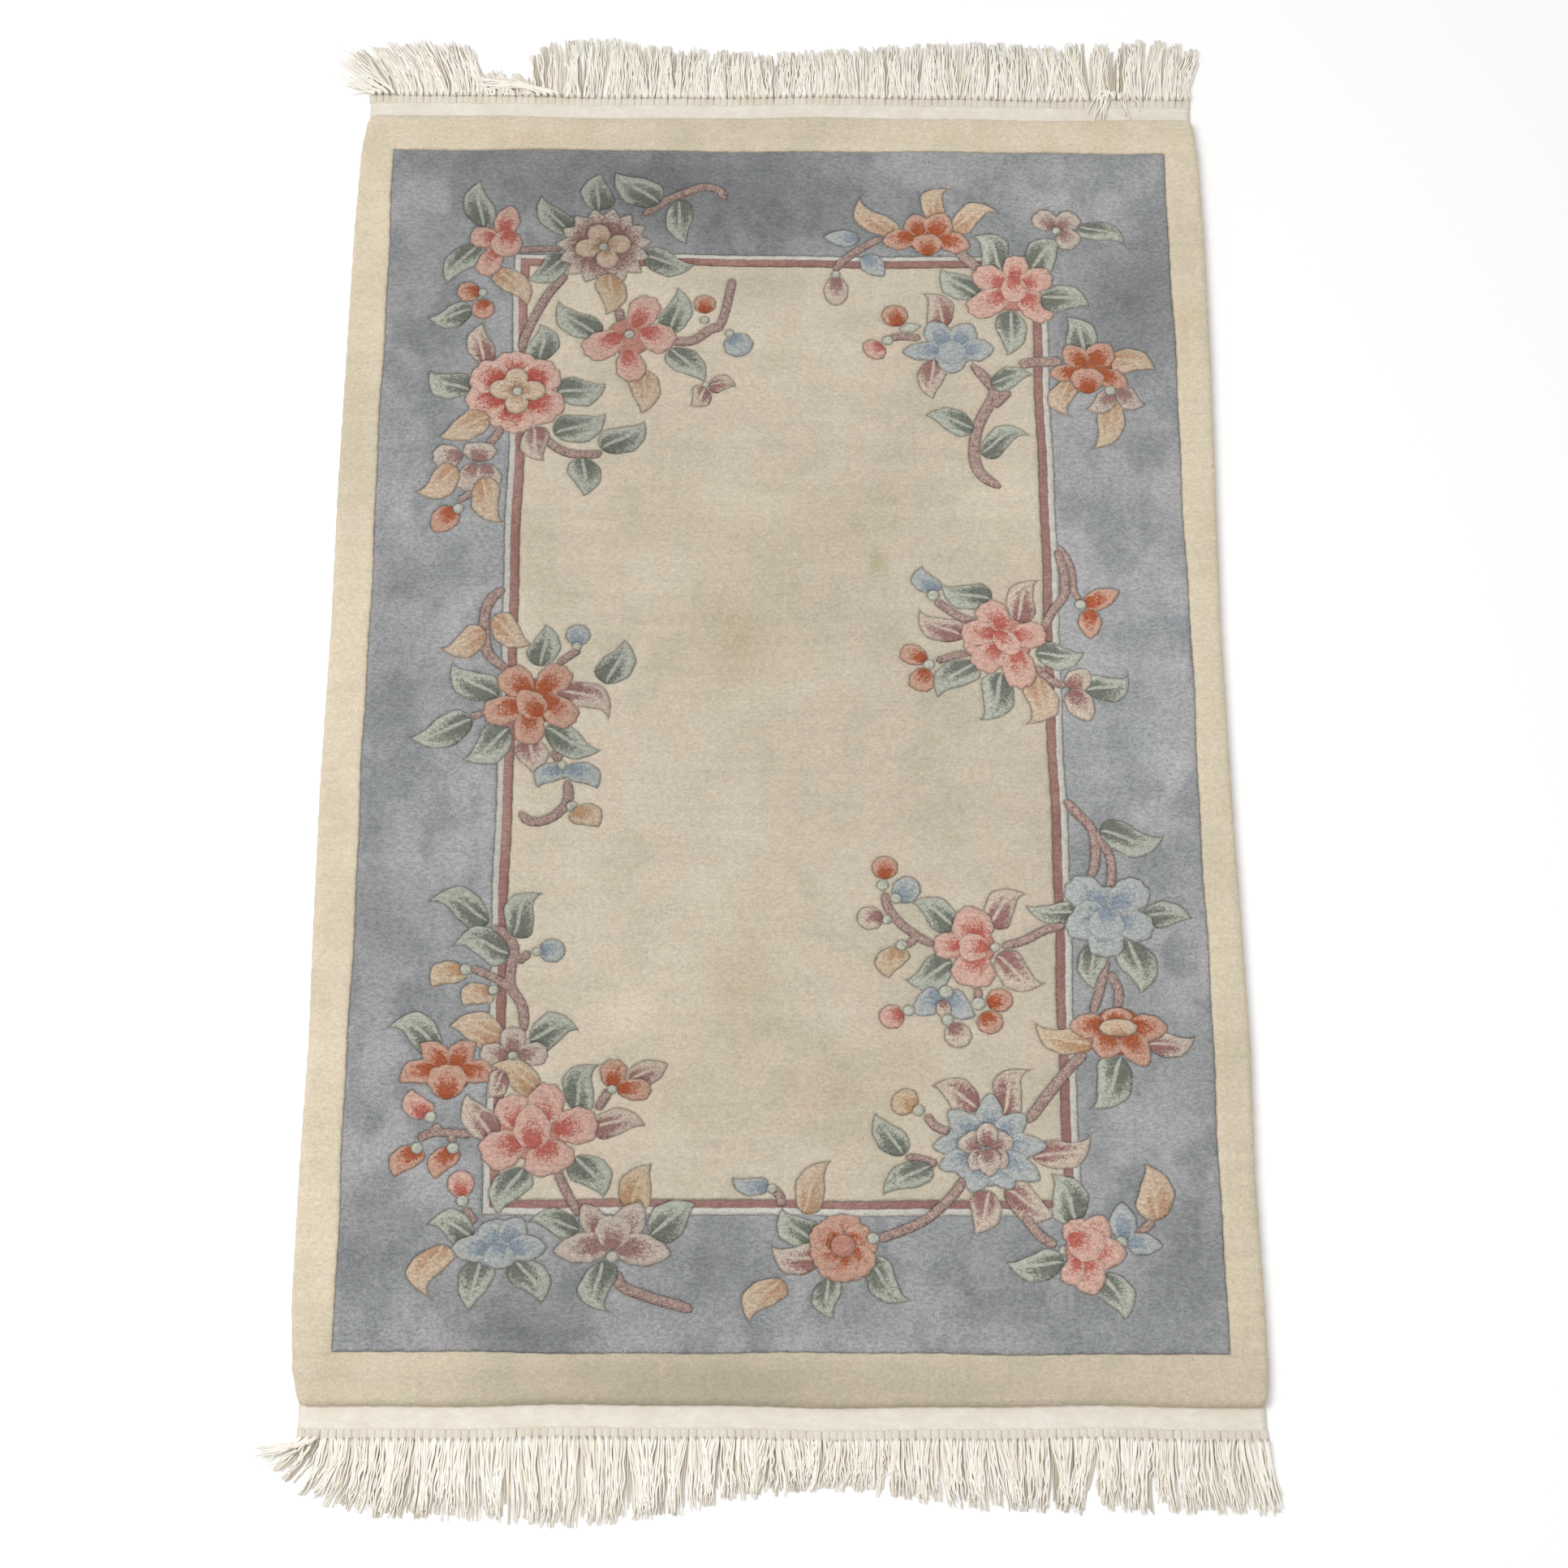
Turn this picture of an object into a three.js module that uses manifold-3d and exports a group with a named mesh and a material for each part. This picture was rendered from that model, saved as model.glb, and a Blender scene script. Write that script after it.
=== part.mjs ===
// A carved wool rug, three feet by five, with a knotted cotton fringe at both ends, lying flat.
// Millimetres, +Z up: X runs across the rug, Y along it, and the floor is at Z = 0.
import * as THREE from "three";
import { mergeVertices } from "three/addons/utils/BufferGeometryUtils.js";
import Module from "manifold-3d";

// Driving dimensions
const PILE_HALF_LENGTH = 762;
const PILE_HEIGHT = 13;
const CORNER_RADIUS = 9;
const WOVEN_END_HALF_LENGTH = 785;
const WOVEN_END_HALF_WIDTH = 455;
const WOVEN_END_THICKNESS = 3;
const SEAM_GAP = 0.3;
const KNOT_STRIP_DEPTH = 5;
const KNOT_COUNT = 124;
const KNOT_PITCH = 7.35;
const STATIONS_ACROSS = 11;
const STATIONS_ALONG = 17;

// The side edges of the pile, which bow out a little between the corners
const SIDE_EDGES = [
  { y: -762, left: -456, right: 457 },
  { y: -727, left: -463, right: 460 },
  { y: -661, left: -467, right: 460 },
  { y: -525, left: -467, right: 458 },
  { y: -385, left: -465, right: 461 },
  { y: -241, left: -467, right: 459 },
  { y: -90, left: -468, right: 457 },
  { y: 102, left: -466, right: 456 },
  { y: 263, left: -467, right: 459 },
  { y: 429, left: -466, right: 462 },
  { y: 602, left: -465, right: 463 },
  { y: 713, left: -462, right: 461 },
  { y: 762, left: -456, right: 457 },
];

// From the foot of the pile up over its rounded shoulder: how far in from the edge, and how high
const SHOULDER = [
  { inset: 1.8, height: 0 },
  { inset: 0, height: 5.5 },
  { inset: 1.2, height: 10.6 },
  { inset: 3.6, height: 12.5 },
  { inset: 7, height: 13 },
];

// The groove that is sheared along each line of the frame and round each leaf and flower
const GROOVE_HALF_WIDTH = 2;
const GROOVE_DEPTH = 2.2;
const CUTTER_CLEARANCE = 0.5;

// The lines of the frame, from outside to inside: border, white line, field
const FRAME_LINES = [
  { left: -424.7, right: 423.5, near: -711.5, far: 713.5 },
  { left: -288.5, right: 287.5, near: -569, far: 571.5 },
  { left: -272.5, right: 271.5, near: -553, far: 556.5 },
];

// The outline of a leaf, from its foot round to its foot, by shares of its length and its width.
// Across is positive on the side that it bows to.
const LEAF_FORM = [
  { along: 0, across: 0, bowed: 0 },
  { along: 0.2, across: -0.36, bowed: 0.4 },
  { along: 0.52, across: -0.42, bowed: 1 },
  { along: 1, across: 0, bowed: 0 },
  { along: 0.8, across: 0.28, bowed: 1 },
  { along: 0.52, across: 0.48, bowed: 1 },
  { along: 0.2, across: 0.38, bowed: 0.4 },
];

// One petal's part of a flower's outline, and the notch after it, by shares of a turn and of the radius
const PETAL_FORM = [
  { turned: -0.24, reach: 0.95 },
  { turned: 0.24, reach: 1 },
  { turned: 0.5, reach: 0.76 },
];

// The main leaves of the sprays, from foot to tip, and how far each bows to its left
const LEAVES = [
  { x: -324, y: 608, tipX: -328, tipY: 671, width: 33, bow: 4 },
  { x: -328, y: 585, tipX: -360, tipY: 531, width: 32, bow: -4 },
  { x: -229, y: 598, tipX: -261, tipY: 651, width: 30, bow: 4 },
  { x: -199, y: 631, tipX: -196, tipY: 681, width: 35, bow: 3 },
  { x: -133, y: 641, tipX: -181, tipY: 683, width: 40, bow: 2 },
  { x: -112, y: 645, tipX: -102, tipY: 586, width: 30, bow: -3 },
  { x: -150, y: 570, tipX: -93, tipY: 560, width: 33, bow: -5 },
  { x: -196, y: 462, tipX: -239, tipY: 509, width: 34, bow: 5 },
  { x: -120, y: 466, tipX: -112, tipY: 527, width: 32, bow: -4 },
  { x: -119, y: 447, tipX: -82, tipY: 404, width: 32, bow: 2 },
  { x: -332, y: 391, tipX: -375, tipY: 417, width: 37, bow: 5 },
  { x: -239, y: 389, tipX: -187, tipY: 401, width: 38, bow: -4 },
  { x: -240, y: 336, tipX: -187, tipY: 362, width: 36, bow: -4 },
  { x: -190, y: 317, tipX: -145, tipY: 353, width: 36, bow: -4 },
  { x: -210, y: 306, tipX: -208, tipY: 258, width: 34, bow: 2 },
  { x: -291, y: 11, tipX: -338, tipY: 51, width: 36, bow: 5 },
  { x: -316, y: -17, tipX: -379, tipY: -38, width: 37, bow: 4 },
  { x: -241, y: -26, tipX: -184, tipY: -52, width: 34, bow: -5 },
  { x: -180, y: 27, tipX: -162, tipY: 80, width: 35, bow: -3 },
  { x: -292, y: -250, tipX: -353, tipY: -229, width: 35, bow: -9 },
  { x: -267, y: -267, tipX: -239, tipY: -219, width: 34, bow: 8 },
  { x: -334, y: -391, tipX: -388, tipY: -370, width: 36, bow: -9 },
  { x: -248, y: -382, tipX: -200, tipY: -371, width: 37, bow: 6 },
  { x: -202, y: -458, tipX: -178, tipY: -409, width: 34, bow: 8 },
  { x: -200, y: -508, tipX: -173, tipY: -551, width: 36, bow: 4 },
  { x: -126, y: -590, tipX: -84, tipY: -557, width: 38, bow: 1 },
  { x: -173, y: -618, tipX: -165, tipY: -670, width: 35, bow: -8 },
  { x: -255, y: -617, tipX: -230, tipY: -662, width: 34, bow: 4 },
  { x: 82, y: -615, tipX: 122, tipY: -657, width: 34, bow: -7 },
  { x: 117, y: -505, tipX: 91, tipY: -461, width: 34, bow: 1 },
  { x: 144, y: -516, tipX: 98, tipY: -547, width: 31, bow: -3 },
  { x: 269, y: -618, tipX: 215, tipY: -617, width: 32, bow: 4 },
  { x: 305, y: -628, tipX: 325, tipY: -677, width: 34, bow: 4 },
  { x: 361, y: -573, tipX: 351, tipY: -514, width: 37, bow: -3 },
  { x: 321, y: -145, tipX: 386, tipY: -149, width: 36, bow: -8 },
  { x: 345, y: -269, tipX: 354, tipY: -328, width: 38, bow: 4 },
  { x: 333, y: -398, tipX: 303, tipY: -455, width: 43, bow: 4 },
  { x: 173, y: -255, tipX: 130, tipY: -227, width: 32, bow: -4 },
  { x: 169, y: -294, tipX: 122, tipY: -313, width: 36, bow: 5 },
  { x: 218, y: 131, tipX: 167, tipY: 150, width: 33, bow: 5 },
  { x: 227, y: 41, tipX: 203, tipY: -14, width: 36, bow: 6 },
  { x: 313, y: 21, tipX: 357, tipY: 40, width: 34, bow: -6 },
  { x: 187, y: 608, tipX: 238, tipY: 632, width: 28, bow: 6 },
  { x: 325, y: 612, tipX: 375, tipY: 588, width: 26, bow: 5 },
  { x: 213, y: 519, tipX: 175, tipY: 555, width: 36, bow: 3 },
  { x: 249, y: 500, tipX: 243, tipY: 441, width: 33, bow: 2 },
  { x: 282, y: 518, tipX: 333, tipY: 505, width: 36, bow: 4 },
  { x: 205, y: 345, tipX: 154, tipY: 362, width: 36, bow: -3 },
  { x: 212, y: 314, tipX: 264, tipY: 337, width: 31, bow: 8 },
];

// The flowers, each a round of lobes: the place of its middle, its size, and the angle of its first lobe
const FLOWERS = [
  { x: -308, y: 590, radius: 38, lobes: 4, turn: 80 },
  { x: -192, y: 582, radius: 53, lobes: 9, turn: 10 },
  { x: -163, y: 462, radius: 50, lobes: 5, turn: 65 },
  { x: -282, y: 391, radius: 53, lobes: 6, turn: 90 },
  { x: -334, y: 300, radius: 36, lobes: 5, turn: 0 },
  { x: -256, y: 5, radius: 48, lobes: 5, turn: 55 },
  { x: -327, y: -412, radius: 42, lobes: 5, turn: 30 },
  { x: -240, y: -477, radius: 54, lobes: 5, turn: 75 },
  { x: -163, y: -594, radius: 46, lobes: 5, turn: 65 },
  { x: -272, y: -600, radius: 36, lobes: 5, turn: 50 },
  { x: 57, y: -603, radius: 36, lobes: 6, turn: 30 },
  { x: 199, y: -497, radius: 56, lobes: 9, turn: 88 },
  { x: 293, y: -607, radius: 38, lobes: 5, turn: 70 },
  { x: 327, y: -243, radius: 45, lobes: 6, turn: 90 },
  { x: 330, y: -370, radius: 42, lobes: 5, turn: 90 },
  { x: 190, y: -277, radius: 42, lobes: 4, turn: 90 },
  { x: 230, y: 78, radius: 48, lobes: 5, turn: 50 },
  { x: 160, y: 602, radius: 40, lobes: 5, turn: 20 },
  { x: 253, y: 528, radius: 44, lobes: 5, turn: 85 },
  { x: 331, y: 425, radius: 38, lobes: 5, turn: 60 },
  { x: 184, y: 450, radius: 42, lobes: 5, turn: 60 },
];

// How each end's fringe lies: where a lock starts, how far its tip leans and how far out it reaches
const FAR_FRINGE = [
  { x: -455, lean: -28, reach: 855 },
  { x: -400, lean: -24, reach: 868 },
  { x: -345, lean: -16, reach: 869 },
  { x: -290, lean: -8, reach: 866 },
  { x: -238, lean: -4, reach: 873 },
  { x: -183, lean: 0, reach: 876 },
  { x: -129, lean: 2, reach: 863 },
  { x: -20, lean: -2, reach: 856 },
  { x: 90, lean: 3, reach: 864 },
  { x: 199, lean: 2, reach: 874 },
  { x: 308, lean: -2, reach: 868 },
  { x: 418, lean: 6, reach: 878 },
  { x: 455, lean: 10, reach: 866 },
];
const NEAR_FRINGE = [
  { x: -455, lean: -34, reach: 812 },
  { x: -430, lean: -30, reach: 838 },
  { x: -405, lean: -18, reach: 858 },
  { x: -380, lean: -8, reach: 867 },
  { x: -290, lean: 0, reach: 872 },
  { x: -199, lean: 3, reach: 878 },
  { x: -109, lean: 0, reach: 868 },
  { x: -64, lean: -2, reach: 855 },
  { x: 27, lean: -2, reach: 841 },
  { x: 72, lean: 1, reach: 842 },
  { x: 162, lean: 3, reach: 859 },
  { x: 253, lean: -2, reach: 861 },
  { x: 343, lean: 3, reach: 863 },
  { x: 455, lean: 8, reach: 864 },
];

// A lock of fringe from its root in the strip, through its knot, to its tip
const LOCK_SECTIONS = [
  { along: 0, width: 3.4, height: 2.6 },
  { along: 0.07, width: 5.6, height: 4.4 },
  { along: 0.45, width: 4, height: 2.6 },
  { along: 1, width: 1.4, height: 1.2 },
];

// Colours and finishes
const wool = new THREE.MeshStandardMaterial({ color: 0x9a9c98, roughness: 0.95, metalness: 0 });
const cotton = new THREE.MeshStandardMaterial({ color: 0xe6dcc6, roughness: 0.9, metalness: 0 });

const wasm = await Module();
wasm.setup();

// A value read from a table's column, on a straight line between its rows.
function tableValue(rows, key, at, column) {
  const last = rows.length - 1;
  if (at <= rows[0][key]) return rows[0][column];
  if (at >= rows[last][key]) return rows[last][column];
  const next = rows.findIndex((row) => row[key] > at);
  const before = rows[next - 1];
  const after = rows[next];
  const share = (at - before[key]) / (after[key] - before[key]);
  return THREE.MathUtils.lerp(before[column], after[column], share);
}

// A small wave in the ends of the rug, where the rows of knots and the weft don't run quite straight.
function endWave(x) {
  return 1.3 * Math.sin(x / 71 + 0.6) + 0.6 * Math.sin(x / 27);
}

// A closed solid from its points and its triangles. Side -1 turns it over the rug's middle, end for end.
function solidFrom(farPoints, farTriangles, side = 1) {
  const points = farPoints.map(([x, y, z]) => [x, side * y, z]);
  const triangles = side > 0 ? farTriangles : farTriangles.map(([a, b, c]) => [a, c, b]);
  const geometry = new THREE.BufferGeometry();
  geometry.setAttribute("position", new THREE.Float32BufferAttribute(points.flat(), 3));
  geometry.setIndex(triangles.flat());
  const merged = mergeVertices(geometry, 1e-4);
  const mesh = new wasm.Mesh({
    numProp: 3,
    vertProperties: new Float32Array(merged.attributes.position.array),
    triVerts: new Uint32Array(merged.index.array),
  });
  return new wasm.Manifold(mesh);
}

// A named mesh from a closed solid.
function namedMesh(name, solid, material) {
  const made = solid.getMesh();
  const geometry = new THREE.BufferGeometry();
  geometry.setAttribute("position", new THREE.BufferAttribute(new Float32Array(made.vertProperties), 3));
  geometry.setIndex(new THREE.BufferAttribute(new Uint32Array(made.triVerts), 1));
  const flat = geometry.toNonIndexed();
  flat.computeVertexNormals();
  const mesh = new THREE.Mesh(flat, material);
  mesh.name = name;
  return mesh;
}

// Triangles between two loops of the same number of points, the second above or inside the first.
function stitchLoops(first, second, count) {
  const triangles = [];
  for (let i = 0; i < count; i++) {
    const j = (i + 1) % count;
    triangles.push([first + i, first + j, second + j]);
    triangles.push([first + i, second + j, second + i]);
  }
  return triangles;
}

// Triangles that fill one flat loop, facing up or down.
function fillLoop(points, start, count, facingUp) {
  const contour = points.slice(start, start + count).map(([x, y]) => new THREE.Vector2(x, y));
  const faces = THREE.ShapeUtils.triangulateShape(contour, []);
  return faces.map(([a, b, c]) =>
    facingUp ? [start + a, start + b, start + c] : [start + a, start + c, start + b],
  );
}

// A solid from a stack of loops, closed at the first and the last one.
function solidFromLoops(loops, side = 1) {
  const count = loops[0].length;
  const points = loops.flat();
  const triangles = fillLoop(points, 0, count, false);
  for (let i = 1; i < loops.length; i++) {
    triangles.push(...stitchLoops((i - 1) * count, i * count, count));
  }
  triangles.push(...fillLoop(points, (loops.length - 1) * count, count, true));
  return solidFrom(points, triangles, side);
}

// Places along one side from 0 to just before 1, with one at each end of the rounded corners.
function sideStations(count, length) {
  const corner = CORNER_RADIUS / length;
  const stations = [0];
  for (let i = 0; i < count; i++) {
    stations.push(THREE.MathUtils.lerp(corner, 1 - corner, i / (count - 1)));
  }
  return stations;
}

// One turn round the rug, anticlockwise from its near left corner, within four side functions.
function loopWithin(sides, z, cornerRadius) {
  const cut = cornerRadius * (1 - Math.SQRT1_2);
  const near = sides.near(0);
  const far = sides.far(0);
  const across = sideStations(STATIONS_ACROSS, 2 * WOVEN_END_HALF_WIDTH);
  const along = sideStations(STATIONS_ALONG, 2 * PILE_HALF_LENGTH);
  const loop = [];
  for (const u of across) {
    const x = THREE.MathUtils.lerp(sides.left(near), sides.right(near), u);
    loop.push(u === 0 ? [x + cut, sides.near(x) + cut, z] : [x, sides.near(x), z]);
  }
  for (const u of along) {
    const y = THREE.MathUtils.lerp(near, far, u);
    loop.push(u === 0 ? [sides.right(y) - cut, y + cut, z] : [sides.right(y), y, z]);
  }
  for (const u of across) {
    const x = THREE.MathUtils.lerp(sides.right(far), sides.left(far), u);
    loop.push(u === 0 ? [x - cut, sides.far(x) - cut, z] : [x, sides.far(x), z]);
  }
  for (const u of along) {
    const y = THREE.MathUtils.lerp(far, near, u);
    loop.push(u === 0 ? [sides.left(y) + cut, y - cut, z] : [sides.left(y), y, z]);
  }
  return loop;
}

// A loop at a distance in from the edge of the pile.
function pileLoop({ inset, height }) {
  const sides = {
    left: (y) => tableValue(SIDE_EDGES, "y", y, "left") + inset,
    right: (y) => tableValue(SIDE_EDGES, "y", y, "right") - inset,
    near: (x) => -PILE_HALF_LENGTH - endWave(x) + inset,
    far: (x) => PILE_HALF_LENGTH + endWave(x) - inset,
  };
  return loopWithin(sides, height, CORNER_RADIUS);
}

// A flat outline drawn anticlockwise and moved out by a distance, as a loop at a height.
function loopAround(outline, outward, height) {
  return outline.map((point, i) => {
    const before = outline[(i + outline.length - 1) % outline.length];
    const after = outline[(i + 1) % outline.length];
    const along = new THREE.Vector2().subVectors(after, before).normalize();
    return [point.x + along.y * outward, point.y - along.x * outward, height];
  });
}

// A bar of V section that runs round an outline, to cut its groove.
function grooveCutter(outline) {
  const lip = (GROOVE_HALF_WIDTH * (GROOVE_DEPTH + CUTTER_CLEARANCE)) / GROOVE_DEPTH;
  const above = PILE_HEIGHT + CUTTER_CLEARANCE;
  const count = outline.length;
  const bottom = loopAround(outline, 0, PILE_HEIGHT - GROOVE_DEPTH);
  const outer = loopAround(outline, lip, above);
  const inner = loopAround(outline, -lip, above);
  const triangles = [
    ...stitchLoops(0, count, count),
    ...stitchLoops(count, 2 * count, count),
    ...stitchLoops(2 * count, 0, count),
  ];
  return solidFrom([...bottom, ...outer, ...inner], triangles);
}

// What lies within an outline, where the grooves of anything under it don't show.
function coverOf(outline) {
  const below = PILE_HEIGHT - 2 * GROOVE_DEPTH;
  const above = PILE_HEIGHT + 2 * CUTTER_CLEARANCE;
  return solidFromLoops([loopAround(outline, 0, below), loopAround(outline, 0, above)]);
}

// The outline of a leaf that bows to its left, or to its right where the bow is negative.
function leafOutline({ x, y, tipX, tipY, width, bow }) {
  const foot = new THREE.Vector2(x, y);
  const along = new THREE.Vector2(tipX, tipY).sub(foot);
  const left = new THREE.Vector2(-along.y, along.x).normalize();
  const points = LEAF_FORM.map((row) => {
    const outward = Math.sign(bow) * row.across * width + row.bowed * bow;
    return foot.clone().addScaledVector(along, row.along).addScaledVector(left, outward);
  });
  return bow > 0 ? points : points.reverse();
}

// The outline of a flower, a broad lobe for each petal.
function flowerOutline({ x, y, radius, lobes, turn }) {
  const middle = new THREE.Vector2(x, y);
  const step = (2 * Math.PI) / lobes;
  const points = [];
  for (let i = 0; i < lobes; i++) {
    for (const { turned, reach } of PETAL_FORM) {
      const angle = THREE.MathUtils.degToRad(turn) + (i + turned) * step;
      const outward = new THREE.Vector2(Math.cos(angle), Math.sin(angle));
      points.push(middle.clone().addScaledVector(outward, radius * reach));
    }
  }
  return points;
}

// The outline of one line of the frame.
function lineOutline({ left, right, near, far }) {
  const corners = [[left, near], [right, near], [right, far], [left, far]];
  return corners.map(([x, y]) => new THREE.Vector2(x, y));
}

// Every groove of the pile. What is laid over another motif parts its groove.
function allGrooves() {
  const outlines = [
    ...FRAME_LINES.map(lineOutline),
    ...LEAVES.map(leafOutline),
    ...FLOWERS.map(flowerOutline),
  ];
  let grooves = grooveCutter(outlines[0]);
  outlines.slice(1).forEach((outline, i) => {
    const isLine = i + 1 < FRAME_LINES.length;
    const kept = isLine ? grooves : grooves.subtract(coverOf(outline));
    grooves = kept.add(grooveCutter(outline));
  });
  return grooves;
}

// The knotted pile: its shoulders, and its level top with the grooves sheared into it.
function makePile() {
  return solidFromLoops(SHOULDER.map(pileLoop)).subtract(allGrooves());
}

// Places across an end where its edge is set, shared by the woven end and the strip beside it.
function endStations() {
  const count = 2 * STATIONS_ACROSS;
  const places = [];
  for (let i = 0; i <= count; i++) {
    places.push(THREE.MathUtils.lerp(-WOVEN_END_HALF_WIDTH, WOVEN_END_HALF_WIDTH, i / count));
  }
  return places;
}

// An outline drawn anticlockwise, raised from the floor to a height.
function prism(outline, height, side = 1) {
  const floor = outline.map(([x, y]) => [x, y, 0]);
  const top = outline.map(([x, y]) => [x, y, height]);
  return solidFromLoops([floor, top], side);
}

// The cotton foundation, which ends in a flat-woven strip beyond the pile.
function makeFoundation() {
  const edge = (x) => WOVEN_END_HALF_LENGTH + endWave(x);
  const near = endStations().map((x) => [x, -edge(x)]);
  const far = endStations().map((x) => [x, edge(x)]);
  return prism([...near, ...far.reverse()], WOVEN_END_THICKNESS);
}

// The strip of weft and knots that the locks hang from.
function makeKnotStrip(side) {
  const inner = (x) => WOVEN_END_HALF_LENGTH + endWave(x) + SEAM_GAP;
  const back = endStations().map((x) => [x, inner(x)]);
  const front = endStations().map((x) => [x, inner(x) + KNOT_STRIP_DEPTH]);
  return prism([...back, ...front.reverse()], WOVEN_END_THICKNESS, side);
}

// The middle line of one lock, laid out as at the far end, at a share of its length.
function lockPoint(fringe, rootX, wobble, share) {
  const rootY = WOVEN_END_HALF_LENGTH + endWave(rootX) + KNOT_STRIP_DEPTH / 2;
  const lean = tableValue(fringe, "x", rootX, "lean");
  const reach = tableValue(fringe, "x", rootX, "reach") + wobble;
  const sway = 2.2 * Math.sin(rootX / 36 + 2.4 * share) * share;
  return new THREE.Vector2(
    rootX + lean * share ** 1.6 + sway,
    THREE.MathUtils.lerp(rootY, reach, share),
  );
}

// One lock with three sides, its base flat on the floor.
function makeLock(fringe, index, side) {
  const rootX = (index - (KNOT_COUNT - 1) / 2) * KNOT_PITCH;
  const wobble = 6 * Math.sin(index * 2.4) + 3 * Math.sin(index * 5.1);
  const rings = LOCK_SECTIONS.map(({ along, width, height }) => {
    const middle = lockPoint(fringe, rootX, wobble, along);
    return [
      [middle.x - width / 2, middle.y, 0],
      [middle.x, middle.y, height],
      [middle.x + width / 2, middle.y, 0],
    ];
  });
  return solidFromRings(rings, side);
}

// A bar from a row of three-cornered rings, closed at both ends.
function solidFromRings(rings, side) {
  const count = rings[0].length;
  const last = (rings.length - 1) * count;
  const triangles = [[0, 2, 1], [last, last + 1, last + 2]];
  for (let i = 1; i < rings.length; i++) {
    triangles.push(...stitchLoops((i - 1) * count, i * count, count));
  }
  return solidFrom(rings.flat(), triangles, side);
}

// A fringe, far at side 1 or near at side -1: the strip with its locks, fused at their roots.
function makeFringe(fringe, side) {
  let solid = makeKnotStrip(side);
  for (let i = 0; i < KNOT_COUNT; i++) {
    solid = solid.add(makeLock(fringe, i, side));
  }
  return solid;
}

const rug = new THREE.Group();
rug.add(namedMesh("carpet", makeFoundation().add(makePile()), wool));
rug.add(namedMesh("fringe_far", makeFringe(FAR_FRINGE, 1), cotton));
rug.add(namedMesh("fringe_near", makeFringe(NEAR_FRINGE, -1), cotton.clone()));

// The origin is the middle of the whole rug's box, on the floor.
const box = new THREE.Box3().setFromObject(rug);
const middle = box.getCenter(new THREE.Vector3());
rug.position.set(-middle.x, -middle.y, 0);

export default rug;
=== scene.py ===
# A carved wool rug with floral sprays and a knotted cotton fringe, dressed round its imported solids.
# Sizes in the tables are millimetres on the rug: X to the right, Y to the far end, from its middle.
import math
from dataclasses import dataclass
from functools import partialmethod

import bpy
import numpy as np
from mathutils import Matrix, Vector
from mathutils.geometry import delaunay_2d_cdt
from mathutils.kdtree import KDTree


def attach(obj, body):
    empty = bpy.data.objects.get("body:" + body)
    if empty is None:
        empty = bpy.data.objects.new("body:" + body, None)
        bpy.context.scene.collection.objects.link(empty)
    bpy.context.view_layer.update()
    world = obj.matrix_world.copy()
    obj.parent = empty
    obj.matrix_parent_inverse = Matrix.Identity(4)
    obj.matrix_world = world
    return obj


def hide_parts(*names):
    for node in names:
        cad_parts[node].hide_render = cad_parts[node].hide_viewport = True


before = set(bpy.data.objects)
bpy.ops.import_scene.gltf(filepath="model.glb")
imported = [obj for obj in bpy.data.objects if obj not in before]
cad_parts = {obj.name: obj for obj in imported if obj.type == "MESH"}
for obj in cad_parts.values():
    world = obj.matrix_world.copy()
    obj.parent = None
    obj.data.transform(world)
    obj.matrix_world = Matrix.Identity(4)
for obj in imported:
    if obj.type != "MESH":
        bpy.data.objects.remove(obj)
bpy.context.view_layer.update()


def table(text):
    """The rows of numbers in a text, with commas between the rows."""
    return np.array([row.split() for row in text.split(",")], float)


# Where the middle of the rug lies in the frame, whose origin is the middle of the box with the fringe
RUG_MIDDLE = np.array([0.010437, -0.000477, 0.0])
MILLIMETRE = 0.001

# The pile, as knotted and sheared
PILE_HALF_LENGTH = 762
CORNER_RADIUS = 9
# Y, and X of the left and the right edge there
SIDE_EDGES = table("""
-762 -456 457, -727 -463 460, -661 -467 460, -525 -467 458, -385 -465 461, -241 -467 459, -90 -468 457,
102 -466 456, 263 -467 459, 429 -466 462, 602 -465 463, 713 -462 461, 762 -456 457
""")
# Inset from the edge and height, over the shoulder and then under it
SHOULDER = table("0 7, 1.3 10.7, 3.6 12.5, 7 13")
PILE_FOOT = table("0.1 3.5, 0.4 1.2, 2 0, 6 0.4")
GROOVE_DEPTH = 2.1
GROOVE_HALF_WIDTH = 3.0
GROOVE_STEEPNESS = 1.7
GROOVE_WITHIN_FLOWER = 0.4
GROOVE_WITHIN_FRAME = 0.35
DOME_RUN = 4.0

# The rectangles of the ground, from outside to inside, each laid over the one before
FRAME_ZONES = {
    # left, right, near, far
    "border": (-426, 423.5, -711.5, 713.5),
    "white_line": (-288.5, 288, -569, 571.5),
    "mauve_line": (-282, 281, -562, 565.5),
    "field": (-272.5, 272, -553, 556.5),
}

# The woven ends
WOVEN_END_HALF_LENGTH = 785
WOVEN_END_HALF_WIDTH = 455
WOVEN_END_THICKNESS = 3
WEFT_CROWN = 0.3
UNDER_PILE_THICKNESS = 2.4
UNDER_PILE_INSET = 5
COVERED_FROM = 760
FOUNDATION_COLUMNS = 150

# The knots and the fringe
KNOT_STRIP_DEPTH = 5
KNOT_COUNT = 124
KNOT_PITCH = 7.35
KNOT_SIDES = 18
KNOT_RADII = np.array([4.05, 4.1, 4.1, 4.1, 4.15, 4.3, 4.2, 2.4])
KNOT_LENGTH = 13
KNOT_FLATNESS = 0.42
UNDER_YARNS = 4
UPPER_YARNS = 7
SWEPT_YARNS = 5
YARNS_PER_LOCK = UNDER_YARNS + UPPER_YARNS
YARN_RINGS = 14
YARN_SIDES = 5
YARN_RADIUS = 1.05
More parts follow.
